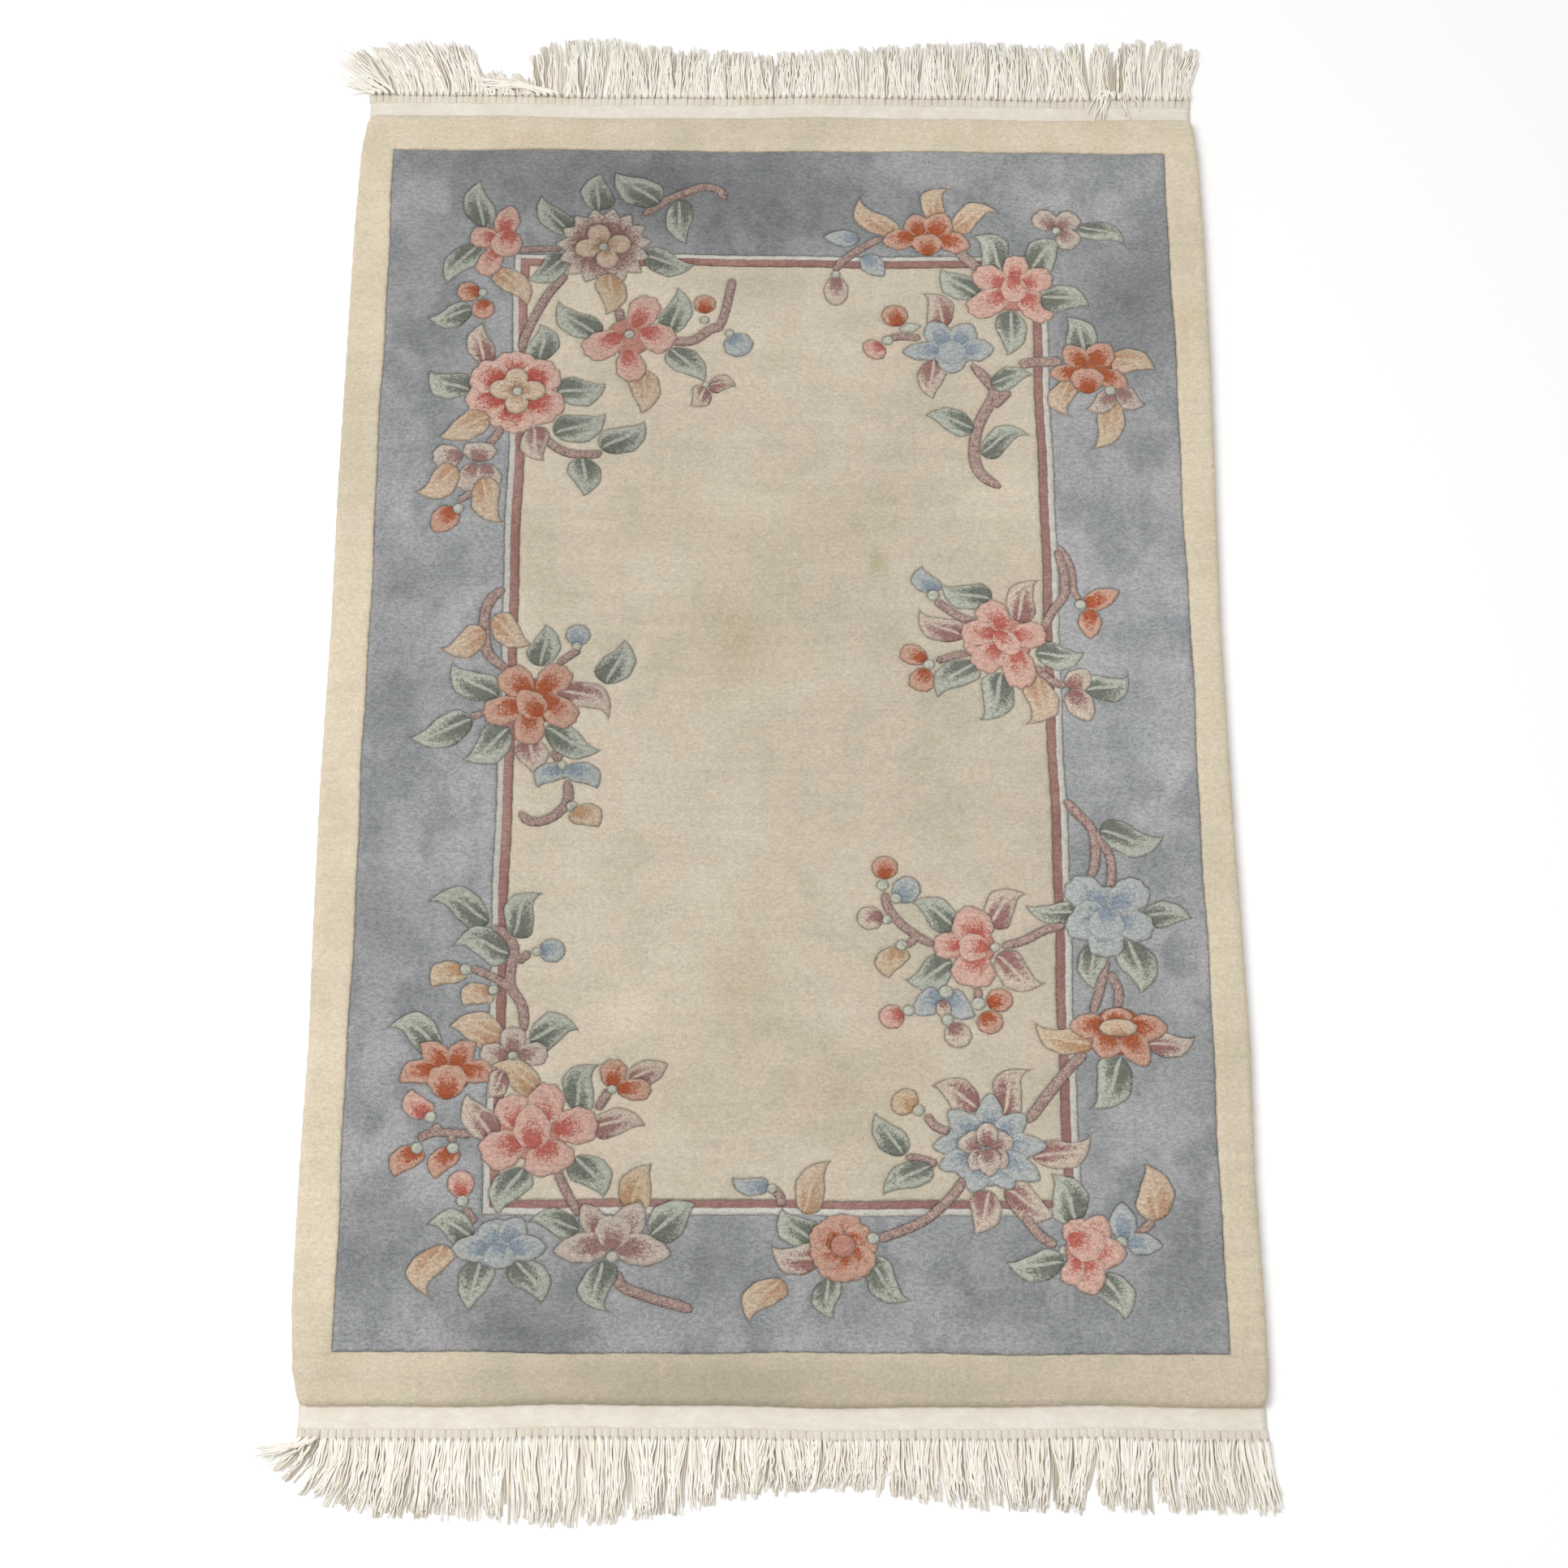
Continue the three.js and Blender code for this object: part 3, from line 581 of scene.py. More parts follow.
def ring_shapes(yarn, count, x, y, inner, outer, width, turn):
    """Petals round a middle, whose sides stay as deep as their middle lines."""
    for i in range(int(count)):
        angle = math.radians(turn) + 2 * math.pi * i / count
        ray = np.array([math.cos(angle), math.sin(angle)])
        reach = outer * (1 + 0.05 * math.sin(3.1 * i))
        petal = lens_shape(yarn, "leaf", (x, y) + inner * ray, (x, y) + reach * ray, width)
        along = petal.lengthwise
        petal.lengthwise = lambda places, along=along: (along(places)[0], 0.0)
        yield petal


def spray_shapes():
    """The shapes of the table of sprays, back to front."""
    kind = []
    for entry in SPRAYS.strip().replace("\n", ",").split(","):
        words = entry.split()
        names = [word for word in words if word.isalpha()]
        kind = names or kind
        numbers = [float(word) for word in words[len(names):]]
        form = kind[0]
        yarn = kind[-1]
        if form == "stem":
            yield stem_shape(numbers[0], np.reshape(numbers[1:], (-1, 2)))
        elif form in ("disc", "eye"):
            yield disc_shape(yarn, numbers[:2], numbers[2])
        elif form == "ring":
            yield from ring_shapes(yarn, *numbers)
        else:
            yield lens_shape(yarn, form, numbers[:2], numbers[2:4], *numbers[4:])


def end_wave(x):
    """The wave of the rug's ends, where the rows of knots and the weft don't run quite straight."""
    return 1.3 * np.sin(x / 71 + 0.6) + 0.6 * np.sin(x / 27)


def zone_shape(name, left, right, near, far):
    """A rectangle of the ground whose sides wander a little, as its knots do."""
    corners = np.array([(left, near), (right, near), (right, far), (left, far)])
    sides = []
    for number, (start, stop) in enumerate(zip(corners, np.roll(corners, -1, axis=0))):
        count = round(np.linalg.norm(stop - start) / STATION)
        share = np.linspace(0, 1, count, endpoint=False)[:, None]
        line = start * (1 - share) + stop * share
        run = line.sum(1)
        wander = 0.8 * np.sin(run / 61) + 0.5 * np.sin(run / 23 + 1) + 0.25 * np.sin(run / 4.1)
        fade = np.minimum(1, np.minimum(share, 1 - share)[:, 0] * 20)
        # The near and the far side wander in Y, the others in X
        line[:, 1 - number % 2] += wander * fade
        sides.append(line)
    return Shape(name, np.concatenate(sides))


def pile_edge():
    """The outer loop of the pile, anticlockwise, with rounded corners."""
    y = np.linspace(-PILE_HALF_LENGTH + CORNER_RADIUS, PILE_HALF_LENGTH - CORNER_RADIUS, 590)
    fuzz = 0.35 * np.sin(y / 3.7) * np.sin(y / 17)
    left, right = [np.stack([np.interp(y, SIDE_EDGES[:, 0], SIDE_EDGES[:, i]) + fuzz, y], 1) for i in (1, 2)]
    x = np.linspace(left[-1, 0] + CORNER_RADIUS, right[-1, 0] - CORNER_RADIUS, 350)
    end = PILE_HALF_LENGTH + end_wave(x) + 0.4 * np.sin(x / 3.1) * np.sin(x / 13)
    sides = [np.stack([x, -end], 1), right, np.stack([x, end], 1)[::-1], left[::-1]]
    cut = CORNER_RADIUS * (1 - math.sqrt(0.5))
    loop = []
    for side, following in zip(sides, sides[1:] + sides[:1]):
        corner = np.where(np.abs(side[-1]) > np.abs(following[0]), side[-1], following[0])
        loop += [side, [corner - cut * np.sign(corner)]]
    return np.concatenate(loop)


# The plan of the pile, cut into triangles along every edge that shows

# The corners of a box round all outlines
OUTSIDE = np.array([(-520.0, -820.0), (520.0, -820.0), (520.0, 820.0), (-520.0, 820.0)])
MERGE_WITHIN = 0.02
SMALLEST_TURN = 1e-6
# The spacing of the dots that distances are measured to, and how near one is to be on the edge
DOT_PITCH = 0.8
ON_THE_EDGE = 0.6
# What a faint painted shadow line adds to the distance from it, and a distance at which no painted shadow
# line shows
FAINT_LINE = 1.1
FAR_FROM_LINES = 20.0
# Rows of points beside each edge: how far from it, one in how many, and how far they keep from all edges
EDGE_ROWS = [(1.5, 1, 1.25), (3.5, 2, 2.9), (6.2, 3, 5.2)]
# Grids of points beyond those rows: their pitch, and the least and the greatest distance from an edge
GRIDS = [(4.4, 7.5, 13), (8.4, 13, math.inf)]
GRID_HALF_SIZE = (475, 770)


def triangulate(points, edges):
    """Points and triangles of a plan that keeps the given edges, the triangles anticlockwise."""
    out = delaunay_2d_cdt([Vector(p) for p in points], edges, [], 0, MERGE_WITHIN, False)
    places = np.array([tuple(p) for p in out[0]])
    faces = np.array(out[2])
    a, b, c = (places[faces[:, i]] for i in range(3))
    turn = (b - a)[:, 0] * (c - a)[:, 1] - (b - a)[:, 1] * (c - a)[:, 0]
    faces[turn < 0] = faces[turn < 0][:, ::-1]
    return places, faces[np.abs(turn) > SMALLEST_TURN]


def inside(outline, places):
    """Which places lie within an outline."""
    found = np.zeros(len(places), bool)
    x, y = places.T
    for (x0, y0), (x1, y1) in zip(outline, np.roll(outline, -1, axis=0)):
        if y0 != y1:
            crosses = (y0 > y) != (y1 > y)
            found ^= crosses & (x < (x1 - x0) * (y - y0) / (y1 - y0) + x0)
    return found


def owners(shapes, places, faces):
    """For each triangle the number of the last shape that covers its middle, or -1."""
    middles = places[faces].mean(axis=1)
    found = np.full(len(faces), -1)
    for number, shape in enumerate(shapes):
        low, high = shape.outline.min(0), shape.outline.max(0)
        close = np.flatnonzero(np.all((middles >= low) & (middles <= high), axis=1))
        found[close[inside(shape.outline, middles[close])]] = number
    return found


def face_edges(faces):
    """The three sides of every triangle, as pairs of points."""
    return np.concatenate([faces[:, [0, 1]], faces[:, [1, 2]], faces[:, [2, 0]]])


def shown_edges(places, faces, owner):
    """The segments that part two areas: start, stop, and the two owners, -1 outside the pile."""
    edges = np.sort(face_edges(faces), axis=1)
    order = np.lexsort((edges[:, 1], edges[:, 0]))
    edges = edges[order]
    face = np.tile(np.arange(len(faces)), 3)[order]
    first = np.flatnonzero(np.all(edges[1:] == edges[:-1], axis=1))
    sides = np.stack([owner[face[first]], owner[face[first + 1]]], 1)
    parting = sides[:, 0] != sides[:, 1]
    rows = first[parting]
    return places[edges[rows, 0]], places[edges[rows, 1]], sides[parting]


def search_tree(places):
    """A search tree over plan places."""
    tree = KDTree(len(places))
    for i, (x, y) in enumerate(places):
        tree.insert((x, y, 0), i)
    tree.balance()
    return tree


def nearest(tree, places):
    """For each place the distance to the tree's nearest place, and that place's number."""
    found = [tree.find((x, y, 0)) for x, y in places]
    return np.array([distance for _, _, distance in found]), np.array([number for _, number, _ in found])


def staggered_grid(pitch):
    """Staggered places over the whole rug."""
    width, length = GRID_HALF_SIZE
    rows = np.arange(-length, length, pitch * math.sqrt(0.75))
    x, y = np.meshgrid(np.arange(-width, width, pitch), rows)
    x = x + (np.arange(len(rows)) % 2)[:, None] * pitch / 2
    return np.stack([x.ravel(), y.ravel()], 1)


def subdivided(start, stop, step):
    """Segments cut so that none is much longer than the step: start, stop, and which one each comes from."""
    run = stop - start
    pieces = np.maximum(1, np.round(np.linalg.norm(run, axis=1) / step)).astype(int)
    made = []
    for count in np.unique(pieces):
        own = np.flatnonzero(pieces == count)
        for i in range(count):
            made.append((start[own] + run[own] * (i / count), start[own] + run[own] * ((i + 1) / count), own))
    return [np.concatenate(column) for column in zip(*made)]


def groove_share(sides, shapes):
    """How deep the groove between two areas is cut, as a share: shallow in a flower and within the frame."""
    lines = [i for i, shape in enumerate(shapes) if shape.yarn in ("white_line", "mauve_line")]
    both = np.isin(sides, lines).all(axis=1)
    kin = np.array([KIN.get(shape.yarn, shape.yarn) for shape in shapes])
    alike = kin[sides[:, 0]] == kin[sides[:, 1]]
    share = np.where(both, GROOVE_WITHIN_FRAME, np.where(alike, GROOVE_WITHIN_FLOWER, 1.0))
    return np.where((sides < 0).any(axis=1), 0.0, share)


@dataclass
class Plan:
    """The pile's plan: places, triangles, the area that owns each, and distances from the edges."""
    places: np.ndarray
    faces: np.ndarray
    owner: np.ndarray
    to_edge: np.ndarray
    groove: np.ndarray
    to_rim: np.ndarray


def outline_edges(shapes):
    """The points of every outline, after the corners of the plan, and the edges between them."""
    points = list(OUTSIDE)
    edges = []
    for shape in shapes:
        first = len(points)
        count = len(shape.outline)
        points.extend(shape.outline)
        edges.extend((first + i, first + (i + 1) % count) for i in range(count))
    return points, edges


def free_points(start, stop, edge_tree):
    """Points of the plan between the edges: rows beside each of them, then grids that open out."""
    along = stop - start
    side = np.stack([-along[:, 1], along[:, 0]], 1)
    side /= np.maximum(np.linalg.norm(side, axis=1), 1e-6)[:, None]
    free = []
    for offset, every, clear in EDGE_ROWS:
        for sign in (-1, 1):
            row = ((start + stop) / 2 + sign * offset * side)[::every]
            free.append(row[nearest(edge_tree, row)[0] > clear])
    for pitch, low, high in GRIDS:
        grid = staggered_grid(pitch)
        away = nearest(edge_tree, grid)[0]
        free.append(grid[(away >= low) & (away < high)])
    return np.concatenate(free)


def edge_distance(tree, places):
    """How far each place is from the nearest edge, nothing on the edge itself, and which dot is nearest."""
    distance, dot = nearest(tree, places)
    return np.where(distance < ON_THE_EDGE, 0.0, distance), dot


def make_plan(shapes):
    """Cuts the plan twice: once to find the edges that show, and once along those alone, with fine rows."""
    places, faces = triangulate(*outline_edges(shapes))
    start, stop, sides = shown_edges(places, faces, owners(shapes, places, faces))
    start, stop, source = subdivided(start, stop, STATION)
    sides = sides[source]
    dot_start, dot_stop, source = subdivided(start, stop, DOT_PITCH)
    dots = (dot_start + dot_stop) / 2
    edge_tree = search_tree(dots)
    points = np.concatenate([OUTSIDE, start, stop, free_points(start, stop, edge_tree)])
    first = len(OUTSIDE)
    places, faces = triangulate(points, [(first + i, first + len(start) + i) for i in range(len(start))])
    owner = owners(shapes, places, faces)
    used, faces = np.unique(faces[owner >= 0], return_inverse=True)
    places = places[used]
    to_edge, dot = edge_distance(edge_tree, places)
    groove = groove_share(sides, shapes)[source][dot]
    rim = (sides < 0).any(axis=1)[source]
    to_rim = edge_distance(search_tree(dots[rim]), places)[0]
    return Plan(places, faces.reshape(-1, 3), owner[owner >= 0], to_edge, groove, to_rim)


# The shape of the pile: its shoulders, the grooves sheared round each motif, and the domed motifs

def pile_heights(plan, shapes):
    """The height of each place of the plan, in millimetres."""
    x, y = plan.places.T
    top = np.interp(plan.to_rim, SHOULDER[:, 0], SHOULDER[:, 1])
    wave = 0.35 * np.sin(x / 83 + 0.5) * np.sin(y / 118) + 0.2 * np.sin(x / 37 + y / 51)
    tuft = 0.12 * np.sin(x / 2.9 + np.sin(y / 7)) * np.sin(y / 3.1 + np.sin(x / 9))
    inner = np.clip(plan.to_rim / SHOULDER[-1, 0], 0, 1)
    cut = np.clip(1 - plan.to_edge / GROOVE_HALF_WIDTH, 0, 1) ** GROOVE_STEEPNESS
    domes = np.array([YARNS[shape.yarn].dome if shape.yarn in YARNS else 0.0 for shape in shapes])
    dome = np.zeros(len(x))
    dome[plan.faces.ravel()] = np.repeat(domes[plan.owner], 3)
    dome *= 1 - np.exp(-plan.to_edge / DOME_RUN)
    return top + (wave + tuft) * inner - GROOVE_DEPTH * plan.groove * cut + dome


def to_frame(places, heights):
    """Plan places and heights in millimetres, as points of the frame in metres."""
    return np.column_stack([places, heights]) * MILLIMETRE + RUG_MIDDLE


def add_attribute(made, name, values, domain="POINT"):
    """A named attribute with a number, a vector or a colour for each point or corner."""
    kinds = {1: ("FLOAT", "value"), 3: ("FLOAT_VECTOR", "vector"), 4: ("FLOAT_COLOR", "color")}
    kind, field = kinds[values[0].size]
    attribute = made.data.attributes.new(name, kind, domain)
    attribute.data.foreach_set(field, np.ascontiguousarray(values, np.float32).ravel())


def make_object(name, points, faces, material):
    """A smooth-shaded mesh object."""
    mesh = bpy.data.meshes.new(name)
    mesh.from_pydata(points.tolist(), [], [list(map(int, face)) for face in faces])
    mesh.shade_smooth()
    mesh.materials.append(material)
    made = bpy.data.objects.new(name, mesh)
    bpy.context.scene.collection.objects.link(made)
    return made


def linear(colour):
    """An sRGB colour of 0 to 255 as a linear one with alpha."""
    share = np.array(colour) / 255
    light = np.where(share <= 0.04045, share / 12.92, ((share + 0.055) / 1.055) ** 2.4)
    return (*light, 1.0)


def part_of_plan(plan, heights, chosen):
    """The points and triangles of the chosen triangles, and which plan place each point is."""
    used, faces = np.unique(plan.faces[chosen], return_inverse=True)
    return to_frame(plan.places[used], heights[used]), faces.reshape(-1, 3), used


def line_distance(plan, used):
    """How far some places are from the painted shadow line of a shorn groove, further where the line is a
    faint one.
    """
    return (plan.to_edge + FAINT_LINE * (1 - plan.groove))[used]


def stain_and_shade_tint(places, area):
    """How stains, the wool's own patches and wear, and painted light and shade tint the wool at each place,
    as a colour to multiply by.
    """
    tint = np.ones((len(places), 4))
    for tone, marks in [((0, 0, 0), PATCHES_AND_PAINTED_SHADE.get(area, [])), *STAINS]:
        for x, y, half_width, half_length, strength in marks:
            away = (((places - (x, y)) / (half_width, half_length)) ** 2).sum(1)
            tint[:, :3] *= 1 - (strength * np.exp(-away))[:, None] * (1 - np.array(tone))
    return tint


def make_motifs(name, plan, heights, shapes, chosen, material):
    """One object of motifs, whose corners know their yarn's tones and their place in the motif."""
    points, faces, used = part_of_plan(plan, heights, chosen)
    made = make_object(name, points, faces, material)
    corner_places = plan.places[used][faces.ravel()]
    owner = np.repeat(plan.owner[chosen], 3)
    place, habit = np.zeros((2, len(owner), 3))
    deep, pale = np.zeros((2, len(owner), 4))
    for number in np.unique(owner):
        own = owner == number
        shape = shapes[number]
        yarn = YARNS[shape.yarn]
        place[own, 0], place[own, 1] = shape.lengthwise(corner_places[own])
        # The last number decides which half of a leaf is the deeper one
        habit[own] = (yarn.reach, yarn.rib * shape.ribbed, 0.5 + 0.5 * math.sin(number * 1.7))
        deep[own] = linear(yarn.deep)
        pale[own] = linear(yarn.pale)
    place[:, 2] = line_distance(plan, used)[faces.ravel()]
    for key, values in (("place", place), ("habit", habit), ("deep_tone", deep), ("pale_tone", pale)):
        add_attribute(made, key, values, "CORNER")
    # The motif rows of this tint are painted light and shade alone, darker on the left of the rug and lighter
    # on its right; the stains are real
    add_attribute(made, "tint", stain_and_shade_tint(plan.places[used], "motif"))
    return made


def pile_foot(points, faces, to_rim):
    """Rings of points below the rim of the pile down to its foot, the faces between them, and the rim."""
    known = {(int(a), int(b)) for a, b in face_edges(faces)}
    border = [(a, b) for a, b in known if (b, a) not in known and to_rim[a] == 0 and to_rim[b] == 0]
    rim = sorted({place for edge in border for place in edge})
    number = {place: i for i, place in enumerate(rim)}
    outward = np.zeros((len(rim), 2))
    for a, b in border:
        run_x, run_y = points[b, :2] - points[a, :2]
        for place in (a, b):
            outward[number[place]] += (run_y, -run_x)
    outward /= np.maximum(np.linalg.norm(outward, axis=1), 1e-9)[:, None]
    rings = []
    levels = [dict(zip(rim, rim))]
    for inset, height in PILE_FOOT:
        first = len(points) + len(rings) * len(rim)
        levels.append({place: first + i for place, i in number.items()})
        ring = points[rim].copy()
        ring[:, :2] -= outward * inset * MILLIMETRE
        ring[:, 2] = height * MILLIMETRE
        rings.append(ring)
    walls = []
    for upper, lower in zip(levels, levels[1:]):
        walls += [[upper[b], upper[a], lower[a], lower[b]] for a, b in border]
    return rings, walls, rim


def make_ground(zone, plan, heights, chosen, material):
    """One object of plain ground. The outermost also has the foot of the pile all round."""
    points, faces, used = part_of_plan(plan, heights, chosen)
    to_edge = line_distance(plan, used)
    tint = stain_and_shade_tint(plan.places[used], zone)
    if zone == "guard":
        rings, walls, rim = pile_foot(points, faces, plan.to_rim[used])
        points = np.concatenate([points, *rings])
        faces = [*faces, *walls]
        to_edge = np.append(to_edge, np.full(len(rings) * len(rim), FAR_FROM_LINES))
        tint = np.concatenate([tint] + [tint[rim]] * len(rings))
    made = make_object("pile_" + zone, points, faces, material)
    add_attribute(made, "to_edge", to_edge)
    add_attribute(made, "tint", tint)
    return made


# The cotton foundation with its woven ends

# Y of its rows of points: close together in the woven ends, and far apart under the pile
END_ROWS = np.array([785, 784, 781, 777, 773, 769, 765, 761, 758])
COVERED_ROWS = np.arange(-740, 741, 40)


def foundation_side(rows, column):
    """X of one side of the foundation at each row, under the pile or in a woven end."""
    under = np.interp(rows, SIDE_EDGES[:, 0], SIDE_EDGES[:, column])
    sign = np.sign(under)
    covered = np.abs(rows) < COVERED_FROM
    return np.where(covered, under - sign * UNDER_PILE_INSET, sign * WOVEN_END_HALF_WIDTH)


def make_foundation(material):
    """A thin closed slab of weave, a little wavy where it comes out from under the pile."""
    rows = np.concatenate([-END_ROWS, COVERED_ROWS, END_ROWS[::-1]])[:, None]
    left = foundation_side(rows, 1)
    right = foundation_side(rows, 2)
    x = left + (right - left) * np.linspace(0, 1, FOUNDATION_COLUMNS)
    y = rows + np.sign(rows) * end_wave(x)
    outer = np.clip((np.abs(rows) - COVERED_FROM) / (WOVEN_END_HALF_LENGTH - COVERED_FROM), 0, 1)
    crown = 0.35 * np.sin(x / 31) * np.sin(x / 12.3) + 0.25 * np.sin(x / 4.9 + rows / 3)
    top = WOVEN_END_THICKNESS - WEFT_CROWN + crown * outer
    top = np.where(np.abs(rows) < COVERED_FROM, UNDER_PILE_THICKNESS, top)
    places = np.stack([x.ravel(), y.ravel()], 1)
    points = np.concatenate([to_frame(places, top.ravel()), to_frame(places, np.zeros(x.size))])
    index = np.arange(x.size).reshape(x.shape)
    quads = np.stack([index[:-1, :-1], index[:-1, 1:], index[1:, 1:], index[1:, :-1]], 2).reshape(-1, 4)
    faces = np.stack([quads, quads[:, ::-1] + x.size], 1).reshape(-1, 4).tolist()
    loop = [*index[0], *index[1:, -1], *index[-1, -2::-1], *index[-2:0:-1, 0]]
    faces += [[b, a, a + x.size, b + x.size] for a, b in zip(loop, loop[1:] + loop[:1])]
    return make_object("woven_foundation", points, faces, material)


# The knots and the fringe

# How far the knots lie over the weave
KNOT_OVERLAP = 1.2
# How much shorter the shortest yarns are, and how much locks and single yarns lean aside at their tips
SHORTFALL = 22
LOCK_LEAN = 4.2
YARN_LEAN = 1.8
# How far the yarns of neighbouring locks are drawn together
GATHER = 3.2
# The heights of the yarns: the lowest, each layer over it, and the yarns swept over their neighbours
LOWEST_YARN = 1.1
YARN_LAYER = 1.05
SWEPT_LIFT = 2.6


def tubes(paths, radii, sides, flatness):
    """Closed tubes along paths, an array of tubes by rings by three: their points and their faces."""
    along = np.gradient(paths, axis=1)
    along /= np.linalg.norm(along, axis=2)[..., None]
    across = np.cross(along, [0, 0, 1.0])
    across /= np.maximum(np.linalg.norm(across, axis=2), 1e-6)[..., None]
    upward = np.cross(across, along)
    angles = 2 * np.pi * (np.arange(sides) + 0.5) / sides
    turn = across[:, :, None] * np.cos(angles)[:, None]
    lift = upward[:, :, None] * (flatness * np.sin(angles))[:, None]
    points = paths[:, :, None] + (turn + lift) * radii[:, :, None, None]
    index = np.arange(points[..., 0].size).reshape(points.shape[:3])
    here = index[:, :-1]
    ahead = index[:, 1:]
    walls = np.stack([here, np.roll(here, -1, 2), np.roll(ahead, -1, 2), ahead], 3).reshape(-1, 4)
    return points.reshape(-1, 3), [*walls, *index[:, 0, ::-1], *index[:, -1]]


def make_strands(name, side, paths, radii, sides, flatness, shade, flank, material):
    """Tubes that know their shade, the share of their length, and how near each point is to a gap.
    The near end is laid out like the far one and turned over the middle."""
    points, faces = tubes(paths, radii, sides, flatness)
    points[:, 1] *= side
    if side < 0:
        faces = [face[::-1] for face in faces]
    made = make_object(name, to_frame(points[:, :2], points[:, 2]), faces, material)
    count, rings, _ = paths.shape
    strand = np.zeros((count, rings, sides, 3))
    strand[..., 0] = shade
    strand[..., 1] = np.linspace(0, 1, rings)[:, None]
    strand[..., 2] = flank
    add_attribute(made, "strand", strand.reshape(-1, 3))
    return made


def lock_roots():
    """X of the start of each lock."""
    return (np.arange(KNOT_COUNT) - (KNOT_COUNT - 1) / 2) * KNOT_PITCH


def yarn_paths(fringe, swept, seed):
    """The middle line and the radii of each yarn of the far fringe, its shade (a random darker tone, and
    painted shade on the strands underneath), and how far out it lies.
    """
    dice = np.random.default_rng(seed)
    count = KNOT_COUNT * YARNS_PER_LOCK
    lock = np.repeat(np.arange(KNOT_COUNT), YARNS_PER_LOCK)
    number = np.tile(np.arange(YARNS_PER_LOCK), KNOT_COUNT)[:, None]
    under = number < UNDER_YARNS
    place = np.where(under, number / (UNDER_YARNS - 1), (number - UNDER_YARNS) / (UPPER_YARNS - 1)) * 2 - 1
    loose = np.where(under, 0.25, 1.0)
    root = lock_roots()[lock][:, None]
    start = WOVEN_END_HALF_LENGTH + end_wave(root) + KNOT_STRIP_DEPTH + 4
    share = np.linspace(0, 1, YARN_RINGS)

    def each(low, high):
        return dice.uniform(low, high, (count, 1))

    lean = np.interp(root, fringe[:, 0], fringe[:, 1])
    reach = np.interp(root, fringe[:, 0], fringe[:, 2]) + 2.0
    reach += 3.5 * np.sin(lock * 2.4)[:, None] - each(0, 1) ** 3 * SHORTFALL
    lock_lean = (3.5 * np.sin(lock * 0.93) + dice.normal(0, LOCK_LEAN, KNOT_COUNT)[lock])[:, None] * loose
    spread = dice.uniform(0.5, 3.0, KNOT_COUNT)[lock][:, None]
    own_lean = dice.normal(0, YARN_LEAN, (count, 1)) * loose
    curl_phase, lift_phase = dice.uniform(0, 2 * np.pi, (count, 2)).T[:, :, None]
    turns = each(0.8, 3.2)
    size = each(0.4, 1.9) * loose
    curl = size * (np.sin(2 * np.pi * turns * share + curl_phase) - np.sin(curl_phase)) * share ** 0.5
    drawn = np.sin(root / 4.1 + np.sin(root / 40)) * np.sin(np.minimum(share * 1.3, 1) * np.pi / 2)
    x = root + (lean + own_lean) * share ** 1.6 + lock_lean * share + curl - GATHER * loose * drawn
    x = x + 2.6 * np.sin(root / 36 + 2.4 * share) * share + place * (2.8 + loose * spread * share)
    y = start + (reach - start) * share
    layer = np.where(under, 0, dice.integers(1, 4, (count, 1)))
    z = LOWEST_YARN + layer * YARN_LAYER * (1 - 0.4 * share) + 0.35 * np.sin(9 * share + lift_phase)
    z += 1.2 * np.exp(-((share - 0.1) / 0.14) ** 2)
    for first, last, tip_x, tip_y, out in swept:
        top_ones = number[:, 0] >= YARNS_PER_LOCK - SWEPT_YARNS
        rows = np.flatnonzero((root[:, 0] >= first) & (root[:, 0] <= last) & top_ones)
        aim = tip_x + dice.normal(0, 5, (len(rows), 1))
        end = tip_y + dice.normal(0, 6, (len(rows), 1))
        bow = 4 * out * share * (1 - share)
        x[rows] = root[rows] + (aim - root[rows]) * share ** 1.3 + curl[rows] + 2 * place[rows]
        y[rows] = start[rows] + bow + (end - start[rows]) * share ** 2 + curl[rows]
        z[rows] += SWEPT_LIFT
    radii = YARN_RADIUS * each(0.8, 1.1) * (1 - 0.5 * share ** 4)
    # The strands underneath are painted in shade, a little more or less from lock to lock; the upper ones get
    # a darker tone at random
    painted_under_shade = 0.85 + 0.15 * np.sin(lock * 0.61 + 2 * np.sin(lock * 0.23))
    shade = np.where(under[:, 0], painted_under_shade, dice.uniform(0, 0.7, count))
    return np.stack([x, y, np.maximum(z, radii)], 2), radii, shade, np.abs(place[:, 0])


def make_fringe(end, side, fringe, swept, seed, material):
    """The loose yarns of one end."""
    paths, radii, shade, flank = yarn_paths(fringe, swept, seed)
    shade, flank = shade[:, None, None], flank[:, None, None]
    return make_strands("fringe_yarns_" + end, side, paths, radii, YARN_SIDES, 1.0, shade, flank, material)


def make_knots(end, side, seed, material):
    """The strip of knots beyond the weave, side by side with a slit between each two."""
    dice = np.random.default_rng(seed)
    root = lock_roots()[:, None]
    share = np.linspace(0, 1, len(KNOT_RADII))
    x = root + dice.normal(0, 0.2, root.shape) + dice.normal(0, 0.4, root.shape) * share
    y = WOVEN_END_HALF_LENGTH + end_wave(root) - KNOT_OVERLAP + KNOT_LENGTH * share
    z = np.broadcast_to(1.2 + 0.35 * np.sin(3 * share), x.shape)
    radii = KNOT_RADII * dice.uniform(0.98, 1.02, root.shape)
    flank = np.abs(np.cos(2 * np.pi * (np.arange(KNOT_SIDES) + 0.5) / KNOT_SIDES))
    paths = np.stack([x, y, z], 2)
    return make_strands("knots_" + end, side, paths, radii, KNOT_SIDES, KNOT_FLATNESS, 0.3, flank, material)


# Materials

# The roughness and the sheen of each
WOOL_SURFACE = (0.95, 0.12)
COTTON_SURFACE = (0.9, 0.2)
FLOOR_SURFACE = (0.9, 0.0)


